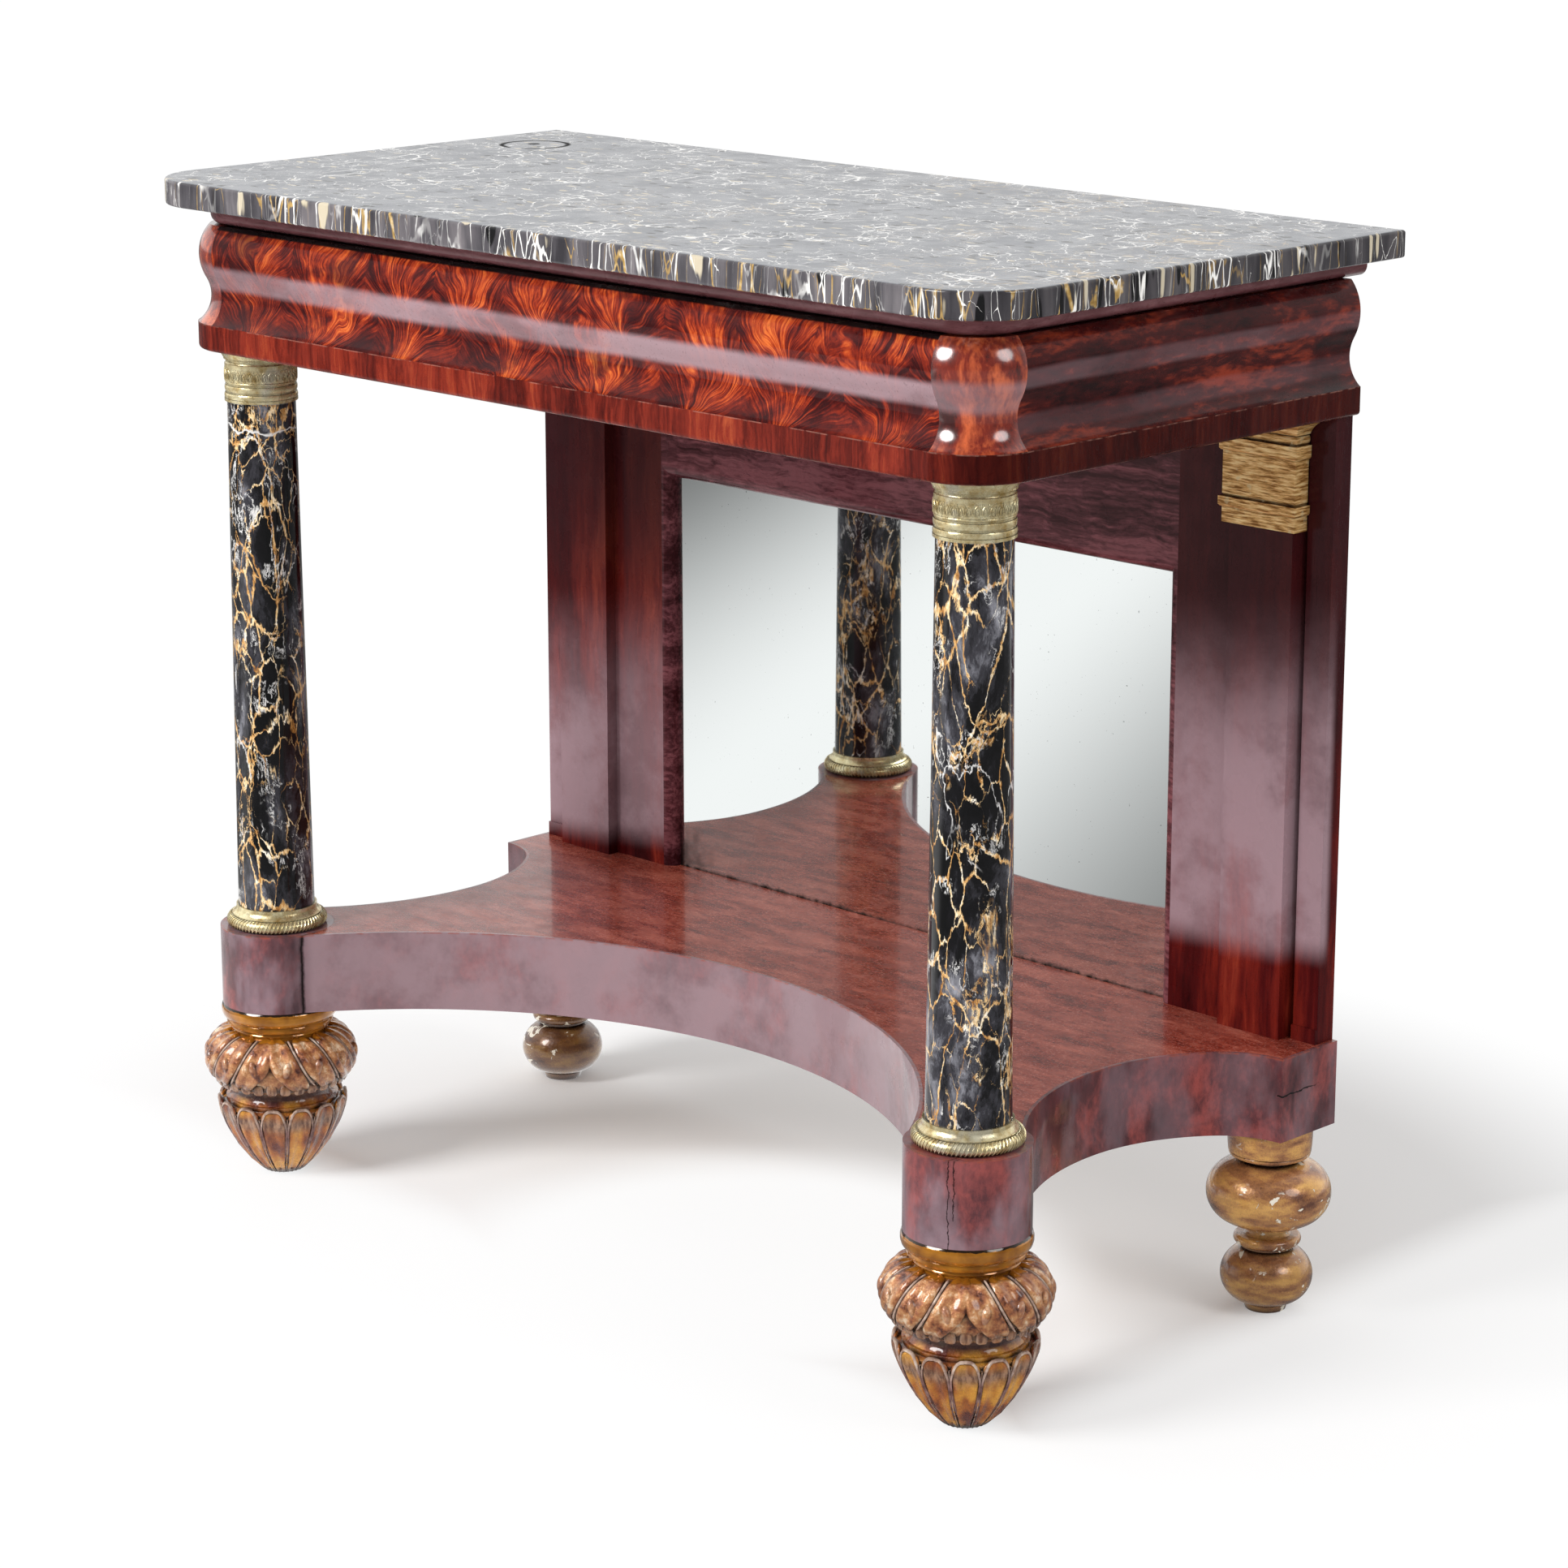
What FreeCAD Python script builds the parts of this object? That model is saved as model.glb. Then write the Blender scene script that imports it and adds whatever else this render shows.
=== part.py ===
import FreeCAD, Part
import math
import os

# Pier table: a marble slab on an ogee apron, carried at the front by two marble columns with brass
# caps and bases, and at the back by pilasters round a looking glass, all on a shaped shelf.
# The origin is on the floor under the middle of the slab. X runs along the table, the front faces -Y.
# All sizes are in millimetres.
# A moulding is a table of members, one above the other from the bottom up. Each member is
# (height, foot, head, swell): how far out it starts and ends, and how far its middle bulges or hollows.

# ---- slab ----
slab_length = 1016.0
slab_depth = 508.0
slab_thickness = 23.0
slab_corner_radius = 66.0
slab_arris = 2.5
slab_overhang = 21.6
wall_clearance = 24.4

# ---- apron and its bottom rails ----
apron_height = 105.0
apron_inner_radius = 22.0
corner_radius = 54.0
flare_setback = 0.5
hollow_depth = 12.3
hollow_level = 24.0
bulge_depth = 2.5
bulge_level = 60.5
neck_depth = 13.0
rail_thickness = 24.0
rail_width = 94.0
rail_arris = 4.0
back_bottom_rail_width = 80.0
back_rail_thickness = 22.0

# ---- bead strip under the slab ----
bead_height = 18.0
bead_setback = 14.0
bead_thickness = 11.0
bead_radius = 9.0
bead_fillet = 4.5
bead_fillet_out = 0.6
bead_tail = 22.0

# ---- battens and rubbed blocks inside the apron ----
batten_width = 60.0
batten_thickness = 25.0
batten_place = 150.0
glue_block_side = 24.0
glue_block_length = 70.0
front_block_count = 4
side_block_count = 2

# ---- columns ----
shaft_length = 470.0
shaft_bottom_radius = 35.0
shaft_top_radius = 30.7
shaft_bore_radius = 7.5
cap_radius = 32.4
cap_wall = 4.5
cap_members = (
    (2.5, 0.5, 0.5, 0.0),
    (5.0, 0.0, 0.0, 0.5),
    (2.0, -0.8, -0.8, 0.0),
    (5.0, -0.2, -0.2, 0.4),
    (1.8, -0.9, -0.9, 0.0),
    (2.2, -0.6, -0.6, 0.5),
    (11.2, 0.0, 0.0, 0.0),
    (4.3, -0.2, -0.2, 0.0),
    (4.0, -0.6, -0.6, -0.8),
    (1.5, 0.6, 0.6, 0.0),
    (8.5, 0.8, 4.1, 0.6),
)
base_neck_radius = 37.0
base_wall = 7.0
base_members = (
    (11.0, 3.0, 3.0, 5.5),
    (1.2, 4.0, 4.0, 0.0),
    (4.4, 3.4, 0.0, -0.6),
    (3.4, 0.0, 0.0, 0.0),
)
rod_radius = 5.0
rod_embed = 38.0
rod_hole_end = 2.0
rod_above_nut = 4.0
nut_width = 18.0
nut_thickness = 9.0
washer_radius = 13.0
washer_thickness = 2.0

# ---- back frame ----
stile_thickness = 22.5
stile_reveal = 65.0
pilaster_width = 66.6
pilaster_thickness = 12.3
post_width = 26.0
post_thickness = 21.5
post_setback = 7.0
groove_width = 5.3
groove_depth = 9.0
plinth_height = 13.0
plinth_proud = 2.5
capital_proud = 5.0
capital_members = (
    (13.5, 0.0, 0.0, 0.0),
    (1.5, 1.2, 2.5, 0.0),
    (7.0, 2.5, 2.5, 0.0),
    (2.0, -0.8, -0.8, 0.0),
    (37.0, 0.0, 0.0, 0.0),
    (1.5, 1.2, 2.5, 0.0),
    (10.0, 2.5, 2.5, 0.0),
    (1.5, -0.8, -0.8, 0.0),
    (6.5, 0.0, 0.0, 0.8),
    (1.0, -0.8, -0.8, 0.0),
    (10.0, 0.8, 9.5, -1.4),
    (6.5, 10.0, 10.0, 0.0),
)

# ---- looking glass ----
glass_height = 393.0
glass_thickness = 3.5
glass_rebate = 8.0
glass_moulding = 11.5
board_lap = 20.0
screw_head_radius = 4.0
screw_shank_radius = 2.0
screw_length = 20.0
screw_head_height = 3.0
screw_count = 4

# ---- shelf ----
shelf_thickness = 74.0
shelf_top_board = 6.0
shelf_facing = 3.0
block_radius = 52.3
front_hollow_depth = 210.7
front_join_angle = 197.2
side_hollow_depth = 92.7
side_hollow_place = 206.0
side_join_angle = 71.5
tail_radius = 70.0
shelf_end_length = 74.0
joint_gap = 0.2

# ---- feet ----
foot_height = 166.0
dowel_radius = 11.0
dowel_length = 30.0
dowel_hole_end = 2.0
petal_count = 14
petal_relief = 4.5
petal_turn = -48.0
cup_profile = (
    (0.0, 18.0),
    (4.0, 22.5),
    (14.0, 32.5),
    (30.0, 44.5),
    (48.0, 54.0),
    (62.0, 59.3),
    (71.0, 60.8),
)
front_foot_members = (
    (4.0, 52.0, 52.0, 0.0),
    (10.0, 49.0, 49.0, -4.5),
    (3.0, 53.0, 62.0, 0.0),
    (18.0, 63.5, 73.0, 2.0),
    (32.0, 73.0, 45.0, 10.5),
    (2.5, 43.5, 43.5, 0.0),
    (3.0, 44.5, 44.5, 0.8),
    (3.0, 46.0, 46.0, 0.8),
)
front_ring = (47.0, 52.3, 3.0)
back_foot_inset_x = 38.0
back_foot_inset_y = 39.6
back_foot_members = (
    (6.0, 17.5, 19.4, 0.0),
    (51.0, 13.0, 13.0, 26.7),
    (3.0, 23.0, 23.0, 0.0),
    (8.0, 26.5, 26.5, 2.5),
    (8.0, 20.0, 18.6, -1.5),
    (61.0, 14.0, 14.0, 39.6),
    (3.0, 27.0, 27.0, 0.0),
    (4.0, 33.0, 33.0, 2.0),
)
back_collar = (35.5, 36.4, 0.4)


def total(members):
    return sum(member[0] for member in members)


# ---- levels and planes that follow ----
shelf_bottom = foot_height
shelf_top = shelf_bottom + shelf_thickness
shaft_foot = shelf_top + total(base_members)
shaft_head = shaft_foot + shaft_length
rail_bottom = shaft_head + total(cap_members)
rail_top = rail_bottom + rail_thickness
slab_bottom = rail_top + apron_height
board_level = shelf_top - shelf_top_board
capital_foot = rail_bottom - total(capital_members)
rail_level = shelf_top + glass_height

column_x = slab_length / 2 - slab_overhang - corner_radius
column_y = -slab_depth / 2 + slab_overhang + corner_radius
frame_back = slab_depth / 2 - wall_clearance
apron_outer_x = column_x + corner_radius
inner_x = column_x + apron_inner_radius
inner_front = column_y - apron_inner_radius
back_rail_front = frame_back - back_rail_thickness

stile_front = frame_back - stile_thickness
post_front = frame_back - post_thickness
pilaster_front = stile_front - pilaster_thickness
post_outer = apron_outer_x - post_setback
post_inner = post_outer - post_width
pilaster_outer = post_inner - groove_width
pilaster_inner = pilaster_outer - pilaster_width
stile_inner = pilaster_inner - stile_reveal
glass_front = stile_front + glass_moulding
glass_back = glass_front + glass_thickness

shelf_end_x = column_x + block_radius
back_foot_x = shelf_end_x - back_foot_inset_x
back_foot_y = frame_back - back_foot_inset_y

V = FreeCAD.Vector
UP = V(0, 0, 1)


# ---- drawing helpers ----
class Outline:
    """A closed outline in one plane. place(a, b) turns the plane's two measures into a point."""

    def __init__(self, place, start):
        self.place = place
        self.start = start
        self.here = start
        self.edges = []

    def line(self, *points):
        for point in points:
            if math.dist(self.here, point) > 1e-6:
                edge = Part.LineSegment(self.place(*self.here), self.place(*point))
                self.edges.append(edge.toShape())
            self.here = point
        return self

    def through(self, middle, end):
        ends = [self.place(*point) for point in (self.here, middle, end)]
        self.edges.append(Part.Arc(*ends).toShape())
        self.here = end
        return self

    def around(self, centre, end):
        """The short arc about a centre, from here to the end."""
        first = V(self.here[0] - centre[0], self.here[1] - centre[1], 0)
        last = V(end[0] - centre[0], end[1] - centre[1], 0)
        middle = (first + last).normalize() * first.Length
        return self.through((centre[0] + middle.x, centre[1] + middle.y), end)

    def bulge(self, swell, height):
        """A bead or hollow between two points at the same distance out: one arc, or a three-arc oval."""
        out, level = self.here
        middle = level + height / 2
        half = height / 2
        if abs(swell) <= half:
            return self.through((out + swell, middle), (out, level + height))
        side = math.copysign(1, swell)
        reach = abs(swell)
        small = (half + half**2 / reach) / 2
        large = ((reach - small) ** 2 + half**2 - small**2) / (2 * (half - small))
        share = large / (large - small)
        turn = ((reach - small) * share * side, (large - half) * (share - 1))
        nose = (out + (reach - small) * side, middle)
        self.around((out, level + large), (out + turn[0], middle - turn[1]))
        self.around(nose, (out + swell, middle)).around(nose, (out + turn[0], middle + turn[1]))
        return self.around((out, level + height - large), (out, level + height))

    def mould(self, members):
        """Draw a table of members, from the bottom up."""
        for height, foot, head, swell in members:
            level = self.here[1]
            self.line((foot, level))
            if swell == 0:
                self.line((head, level + height))
            elif foot == head:
                self.bulge(swell, height)
            else:
                self.through(((foot + head) / 2 + swell, level + height / 2), (head, level + height))
        return self

    def face(self):
        self.line(self.start)
        return Part.Face(Part.Wire(self.edges))


def plan(a, b):
    return V(a, b, 0)


def section(a, b):
    """A radius and a height, in the plane where a turned piece starts."""
    return V(a, 0, b)


def box(x0, x1, y0, y1, z0, z1):
    return Part.makeBox(x1 - x0, y1 - y0, z1 - z0, V(x0, y0, z0))


def pillar(radius, x, y, z0, z1):
    return Part.makeCylinder(radius, z1 - z0, V(x, y, z0))


def ring(inner, outer, z0, z1):
    """A tube about the right-hand column's axis."""
    return pillar(outer, column_x, column_y, z0, z1).cut(pillar(inner, column_x, column_y, z0, z1))


def turned(face, x, y):
    solid = face.revolve(V(0, 0, 0), UP, 360)
    solid.translate(V(x, y, 0))
    return solid


def mirrored(shape):
    return shape.mirror(V(0, 0, 0), V(1, 0, 0))


def spread(count, first, last):
    """Evenly spaced places, the outer ones half a step in from the ends."""
    step = (last - first) / count
    return [first + step * (i + 0.5) for i in range(count)]


def save(name, *shapes):
    solids = [solid for shape in shapes for solid in shape.Solids]
    whole = solids[0] if len(solids) == 1 else Part.makeCompound(solids)
    whole.exportStep("parts/" + name + ".step")


def save_pair(name, right):
    save(name + "_right", right)
    save(name + "_left", mirrored(right))


os.makedirs("parts", exist_ok=True)


# ---- slab: square corners at the back, rounded ones at the front, eased edges ----
def slab():
    half = slab_length / 2
    front = -slab_depth / 2
    back = slab_depth / 2
    r = slab_corner_radius
    shape = Outline(plan, (half, back)).line((-half, back), (-half, front + r))
    shape.around((-half + r, front + r), (-half + r, front))
    shape.line((half - r, front)).around((half - r, front + r), (half, front + r))
    solid = shape.face().extrude(UP * slab_thickness)
    solid.translate(UP * slab_bottom)
    level_edges = [edge for edge in solid.Edges if edge.BoundBox.ZLength < slab_arris]
    return solid.makeFillet(slab_arris, level_edges)


save("marble_top", slab())


# ---- ogee apron: boards and quarter-round corner blocks share one section ----
bead_face = corner_radius - bead_setback
bead_back = bead_face - bead_thickness
bead_bottom = slab_bottom - bead_height


def apron_section(place):
    """The ogee, from its flared foot through the hollow and the bulge to the rebate for the bead."""
    flare = corner_radius - flare_setback
    hollow = corner_radius - hollow_depth
    bulge = corner_radius - bulge_depth
    neck = corner_radius - neck_depth
    z_hollow = rail_top + hollow_level
    z_bulge = rail_top + bulge_level
    cove_radius = ((flare - hollow) ** 2 + hollow_level**2) / (2 * (flare - hollow))
    reach = bulge - hollow
    rise = z_bulge - z_hollow
    lower_radius = (rise**2 + reach**2) / (2 * reach) - cove_radius
    upper_radius = ((bulge - neck) ** 2 + (bead_bottom - z_bulge) ** 2) / (2 * (bulge - neck))
    cove_centre = (hollow + cove_radius, z_hollow)
    lower_centre = (bulge - lower_radius, z_bulge)
    share = cove_radius / (cove_radius + lower_radius)
    turn = (
        cove_centre[0] + (lower_centre[0] - cove_centre[0]) * share,
        cove_centre[1] + (lower_centre[1] - cove_centre[1]) * share,
    )
    shape = Outline(place, (apron_inner_radius, rail_top)).line((flare, rail_top))
    shape.around(cove_centre, (hollow, z_hollow)).around(cove_centre, turn)
    shape.around(lower_centre, (bulge, z_bulge))
    shape.around((bulge - upper_radius, z_bulge), (neck, bead_bottom))
    shape.line((bead_back, bead_bottom), (bead_back, slab_bottom))
    return shape.line((apron_inner_radius, slab_bottom)).face()


def bead_section(place):
    """A square fillet against the slab with a quarter-round below it, let into the apron's rebate."""
    fillet_level = slab_bottom - bead_fillet
    round_centre = (bead_face - bead_radius, bead_bottom + bead_radius)
    shape = Outline(place, (bead_back, bead_bottom)).line((bead_face - bead_radius, bead_bottom))
    shape.around(round_centre, (bead_face, bead_bottom + bead_radius))
    shape.line((bead_face, fillet_level), (bead_face + bead_fillet_out, fillet_level))
    return shape.line((bead_face + bead_fillet_out, slab_bottom), (bead_back, slab_bottom)).face()


def front_plane(r, z):
    return V(-column_x, column_y - r, z)


def side_plane(r, z):
    return V(column_x + r, column_y, z)


def corner(face):
    """A quarter turn about the column's axis, from the front to the side."""
    solid = face.revolve(V(0, 0, 0), UP, 90)
    solid.rotate(V(0, 0, 0), UP, -90)
    solid.translate(V(column_x, column_y, 0))
    return solid


front_run = V(2 * column_x, 0, 0)
side_run = V(0, frame_back - column_y, 0)
bead_run = V(0, frame_back + bead_tail - column_y, 0)
save("apron_front", apron_section(front_plane).extrude(front_run))
save_pair("apron_side", apron_section(side_plane).extrude(side_run))
save_pair("apron_corner", corner(apron_section(section)))
save("top_bead_front", bead_section(front_plane).extrude(front_run))
save_pair("top_bead_side", bead_section(side_plane).extrude(bead_run))
save_pair("top_bead_corner", corner(bead_section(section)))


# ---- bottom rails of the apron: flat boards with a rounded lower arris ----
def low_edges(solid, keep):
    return [edge for edge in solid.Edges if edge.BoundBox.ZMax < rail_bottom + 1e-3 and keep(edge)]


def rail_front():
    """The front board, rounded at both ends about the columns, with a hole for each rod."""
    y_face = column_y - corner_radius
    y_back = y_face + rail_width
    shape = Outline(plan, (apron_outer_x, y_back)).line((-apron_outer_x, y_back), (-apron_outer_x, column_y))
    shape.around((-column_x, column_y), (-column_x, y_face)).line((column_x, y_face))
    solid = shape.around((column_x, column_y), (apron_outer_x, column_y)).face().extrude(UP * rail_thickness)
    solid.translate(UP * rail_bottom)
    solid = solid.makeFillet(rail_arris, low_edges(solid, lambda e: e.CenterOfMass.y < y_back - 1e-3))
    for side in (-1, 1):
        solid = solid.cut(pillar(rod_hole, side * column_x, column_y, rail_bottom, rail_top))
    return solid


def rail_side():
    y_front = column_y - corner_radius + rail_width
    board = box(apron_outer_x - rail_width, apron_outer_x, y_front, frame_back, rail_bottom, rail_top)
    return board.makeFillet(rail_arris, low_edges(board, lambda e: e.BoundBox.XMin > apron_outer_x - 1e-3))


rod_hole = rod_radius + joint_gap
rail_half = apron_outer_x - rail_width
save("bottom_rail_front", rail_front())
save_pair("bottom_rail_side", rail_side())
back_rail = box(-rail_half, rail_half, frame_back - back_bottom_rail_width, frame_back, rail_bottom, rail_top)
save("bottom_rail_back", back_rail)


# ---- inside the apron: back rail, battens under the slab, rubbed glue blocks ----
def batten(x):
    x0 = x - batten_width / 2
    z0 = slab_bottom - batten_thickness
    return box(x0, x0 + batten_width, inner_front, back_rail_front, z0, slab_bottom)


def glue_block(place, along, inwards):
    """A triangular block, rubbed into the angle between a bottom rail and an apron board."""
    start = place - along * (glue_block_length / 2)
    points = [start, start + inwards * glue_block_side, start + UP * glue_block_side, start]
    return Part.Face(Part.makePolygon(points)).extrude(along * glue_block_length)


save("apron_back_rail", box(-inner_x, inner_x, back_rail_front, frame_back, rail_top, slab_bottom))
save("slab_battens", batten(-batten_place), batten(batten_place))
glue_blocks = []
for x in spread(front_block_count, -column_x, column_x):
    glue_blocks.append(glue_block(V(x, inner_front, rail_top), V(1, 0, 0), V(0, 1, 0)))
for y in spread(side_block_count, column_y, back_rail_front):
    block = glue_block(V(inner_x, y, rail_top), V(0, 1, 0), V(-1, 0, 0))
    glue_blocks += [block, mirrored(block)]
save("glue_blocks", *glue_blocks)


# ---- columns: marble shafts, brass caps and bases round wooden plugs, iron rods with nuts ----
def shaft():
    shape = Outline(section, (shaft_bore_radius, shaft_foot)).line((shaft_bottom_radius, shaft_foot))
    shape.line((shaft_top_radius, shaft_head), (shaft_bore_radius, shaft_head))
    return turned(shape.face(), column_x, column_y)


def brass(radius, wall, foot, members):
    """A turned brass sleeve, plain inside, moulded outside by members measured from its radius."""
    shape = Outline(lambda a, b: V(radius + a, 0, b), (-wall, foot)).mould(members)
    return turned(shape.line((-wall, shape.here[1])).face(), column_x, column_y)


rod_foot = shelf_top - rod_embed
nut_level = rail_top + washer_thickness
nut_top = nut_level + nut_thickness
rod = pillar(rod_radius, column_x, column_y, rod_foot, nut_top + rod_above_nut)
cap_plug = ring(rod_hole, cap_radius - cap_wall - joint_gap, shaft_head, rail_bottom)
base_plug = ring(rod_hole, base_neck_radius - base_wall - joint_gap, shelf_top, shaft_foot)
washer = ring(rod_hole, washer_radius, rail_top, nut_level)
nut_corner = V(column_x - nut_width / 2, column_y - nut_width / 2, nut_level)
nut = Part.makeBox(nut_width, nut_width, nut_thickness, nut_corner)
nut = nut.cut(pillar(rod_hole, column_x, column_y, nut_level, nut_top))
save_pair("column_shaft", shaft())
save_pair("column_cap", brass(cap_radius, cap_wall, shaft_head, cap_members))
save_pair("column_base", brass(base_neck_radius, base_wall, shelf_top, base_members))
save("cap_plugs", cap_plug, mirrored(cap_plug))
save("base_plugs", base_plug, mirrored(base_plug))
save("column_rods", rod, mirrored(rod))
save("rod_nuts", washer, nut, mirrored(washer), mirrored(nut))


# ---- back frame: stiles and top rail round the glass, posts, pilasters with gilt capitals ----
def screw(x, z):
    """A countersunk wood screw, driven forwards from the back, its head flush with the board."""
    neck = frame_back - screw_head_height
    forwards = V(0, -1, 0)
    head = Part.makeCone(screw_head_radius, screw_shank_radius, screw_head_height, V(x, frame_back, z), forwards)
    shank = Part.makeCylinder(screw_shank_radius, screw_length - screw_head_height, V(x, neck, z), forwards)
    return head.fuse(shank)


def rebated(board):
    """Cut the step that holds the glass and the wider step that holds the board behind it."""
    half = stile_inner + glass_rebate
    glass_room = box(-half, half, glass_front, frame_back, shelf_top, rail_level + glass_rebate)
    half = stile_inner + board_lap
    board_room = box(-half, half, glass_back, frame_back, shelf_top, rail_level + board_lap)
    return board.cut(glass_room).cut(board_room).cut(all_screws)


def capital():
    """Two moulded prisms, one that limits the front and one the side, meet in mitred returns."""
    centre = (pilaster_inner + pilaster_outer) / 2
    half = pilaster_width / 2 + capital_proud
    face = pilaster_front - capital_proud
    room = pilaster_width
    behind = face - stile_front
    front = Outline(lambda a, b: V(centre, face - a, b), (behind, capital_foot)).mould(capital_members)
    front.line((behind, rail_bottom))
    side = Outline(lambda a, b: V(centre + half + a, face - room, b), (-half, capital_foot)).mould(capital_members)
    side.line((-half, rail_bottom))
    right = front.face().extrude(V(half + room, 0, 0)).common(side.face().extrude(V(0, room - behind, 0)))
    left = right.mirror(V(centre, 0, 0), V(1, 0, 0))
    return right.fuse(left).removeSplitter()


screw_x = stile_inner + (board_lap + glass_rebate) / 2
screws = []
for z in spread(screw_count, shelf_top, rail_level):
    screws += [screw(screw_x, z), screw(-screw_x, z)]
all_screws = Part.makeCompound(screws)
stile = box(stile_inner, post_inner, stile_front, frame_back, shelf_top, rail_bottom)
groove = box(pilaster_outer, post_inner, stile_front, stile_front + groove_depth, shelf_top, rail_bottom)
plinth = box(post_inner, post_outer, post_front - plinth_proud, post_front, shelf_top, shelf_top + plinth_height)
save_pair("stile", rebated(stile.cut(groove)))
save("top_rail", rebated(box(-stile_inner, stile_inner, stile_front, frame_back, rail_level, rail_bottom)))
save_pair("post", box(post_inner, post_outer, post_front, frame_back, shelf_top, rail_bottom))
save("post_plinths", plinth, mirrored(plinth))
save_pair("pilaster", box(pilaster_inner, pilaster_outer, pilaster_front, stile_front, shelf_top, capital_foot))
save_pair("capital", capital())


# ---- looking glass, its quarter-round mouldings and its backboard ----
def quarter_round(place, run, corners):
    """A quarter-round in the angle of frame and glass, cut to the outline of its mitred face."""
    m = glass_moulding
    shape = Outline(place, (0.0, 0.0)).line((-m, 0.0)).around((0.0, 0.0), (0.0, m))
    keep = Outline(lambda a, b: V(a, stile_front, b), corners[0]).line(*corners[1:])
    return shape.face().extrude(run).common(keep.face().extrude(V(0, m, 0)))


glass_half = stile_inner + glass_rebate - joint_gap
board_half = stile_inner + board_lap - joint_gap
inner_top = rail_level - glass_moulding
inner_side = stile_inner - glass_moulding
side_corners = [(stile_inner, shelf_top), (inner_side, shelf_top), (inner_side, inner_top), (stile_inner, rail_level)]
top_corners = [(stile_inner, rail_level), (inner_side, inner_top), (-inner_side, inner_top), (-stile_inner, rail_level)]
side_moulding = quarter_round(
    lambda a, b: V(stile_inner - b, glass_front + a, shelf_top),
    UP * glass_height,
    side_corners,
)
top_moulding = quarter_round(
    lambda a, b: V(-stile_inner, glass_front + a, rail_level - b),
    V(2 * stile_inner, 0, 0),
    top_corners,
)
glass_top = rail_level + glass_rebate - joint_gap
board_top = rail_level + board_lap - joint_gap
save("looking_glass", box(-glass_half, glass_half, glass_front, glass_back, shelf_top, glass_top))
save_pair("glass_moulding_side", side_moulding)
save("glass_moulding_top", top_moulding)
backboard = box(-board_half, board_half, glass_back, frame_back, shelf_top, board_top)
save("backboard", backboard.cut(all_screws))
save("backboard_screws", all_screws)


# ---- shelf: shaped core, top board, curved facings and the two column blocks ----
def on_block(degrees):
    turn = math.radians(degrees)
    return (column_x + block_radius * math.cos(turn), column_y + block_radius * math.sin(turn))


def shelf_outline(inset):
    """Right half of the shelf's plan: hollow front, and a hollow side that ends square at the back."""
    end_x = shelf_end_x - inset
    end_front = frame_back - shelf_end_length
    waist = (shelf_end_x - side_hollow_depth, frame_back - side_hollow_place)
    tail = (shelf_end_x, end_front - tail_radius)
    rise = end_front - waist[1]
    free = 2 * (side_hollow_depth - tail_radius)
    aft_radius = (side_hollow_depth**2 + rise**2 - 2 * rise * tail_radius) / free
    aft = (waist[0] + aft_radius, waist[1])
    turn_share = (aft_radius + inset) / (aft_radius - tail_radius)
    turn = (aft[0] + (tail[0] - aft[0]) * turn_share, aft[1] + (tail[1] - aft[1]) * turn_share)
    side_end = on_block(side_join_angle)
    dx = side_end[0] - waist[0]
    fore_radius = (dx**2 + (side_end[1] - waist[1]) ** 2) / (2 * dx)
    fore = (waist[0] + fore_radius, waist[1])
    fore_share = (fore_radius + inset) / fore_radius
    fore_end = (fore[0] + (side_end[0] - fore[0]) * fore_share, fore[1] + (side_end[1] - fore[1]) * fore_share)
    middle_y = frame_back - front_hollow_depth
    front_end = on_block(front_join_angle)
    drop = middle_y - front_end[1]
    front_radius = (front_end[0] ** 2 + drop**2) / (2 * drop)
    front = (0.0, middle_y - front_radius)
    front_share = (front_radius + inset) / front_radius
    front_stop = (front_end[0] * front_share, front[1] + (front_end[1] - front[1]) * front_share)
    tail_end = (end_x, tail[1] + math.sqrt((tail_radius + inset) ** 2 - inset**2))
    shape = Outline(plan, (0.0, frame_back)).line((end_x, frame_back), tail_end)
    shape.around(tail, turn).around(aft, (waist[0] - inset, waist[1])).around(fore, fore_end)
    shape.line((column_x, column_y), front_stop).around(front, (0.0, middle_y + inset))
    return shape.face()


def shelf_plate(inset, z0, z1):
    half = shelf_outline(inset).extrude(UP * (z1 - z0))
    half.translate(UP * z0)
    whole = half.fuse(mirrored(half)).removeSplitter()
    for side in (-1, 1):
        whole = whole.cut(pillar(block_radius + joint_gap, side * column_x, column_y, z0, z1))
    return whole


dowel_hole = dowel_radius + joint_gap
dowel_hole_top = shelf_bottom + dowel_length + dowel_hole_end
core = shelf_plate(shelf_facing, shelf_bottom, board_level)
for side in (-1, 1):
    core = core.cut(pillar(dowel_hole, side * back_foot_x, back_foot_y, shelf_bottom, dowel_hole_top))
save("shelf_core", core)
save("shelf_top", shelf_plate(shelf_facing, board_level, shelf_top))
facings = shelf_plate(0.0, shelf_bottom, shelf_top).cut(shelf_plate(shelf_facing, shelf_bottom, shelf_top))
for strip in facings.Solids:
    if strip.BoundBox.XMin < 0 < strip.BoundBox.XMax:
        save("shelf_facing_front", strip)
    elif strip.BoundBox.XMin > 0:
        save_pair("shelf_facing_side", strip)
column_block = pillar(block_radius, column_x, column_y, shelf_bottom, shelf_top)
column_block = column_block.cut(pillar(rod_hole, column_x, column_y, rod_foot - rod_hole_end, shelf_top))
column_block = column_block.cut(pillar(dowel_hole, column_x, column_y, shelf_bottom, dowel_hole_top))
save_pair("shelf_block", column_block)


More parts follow.
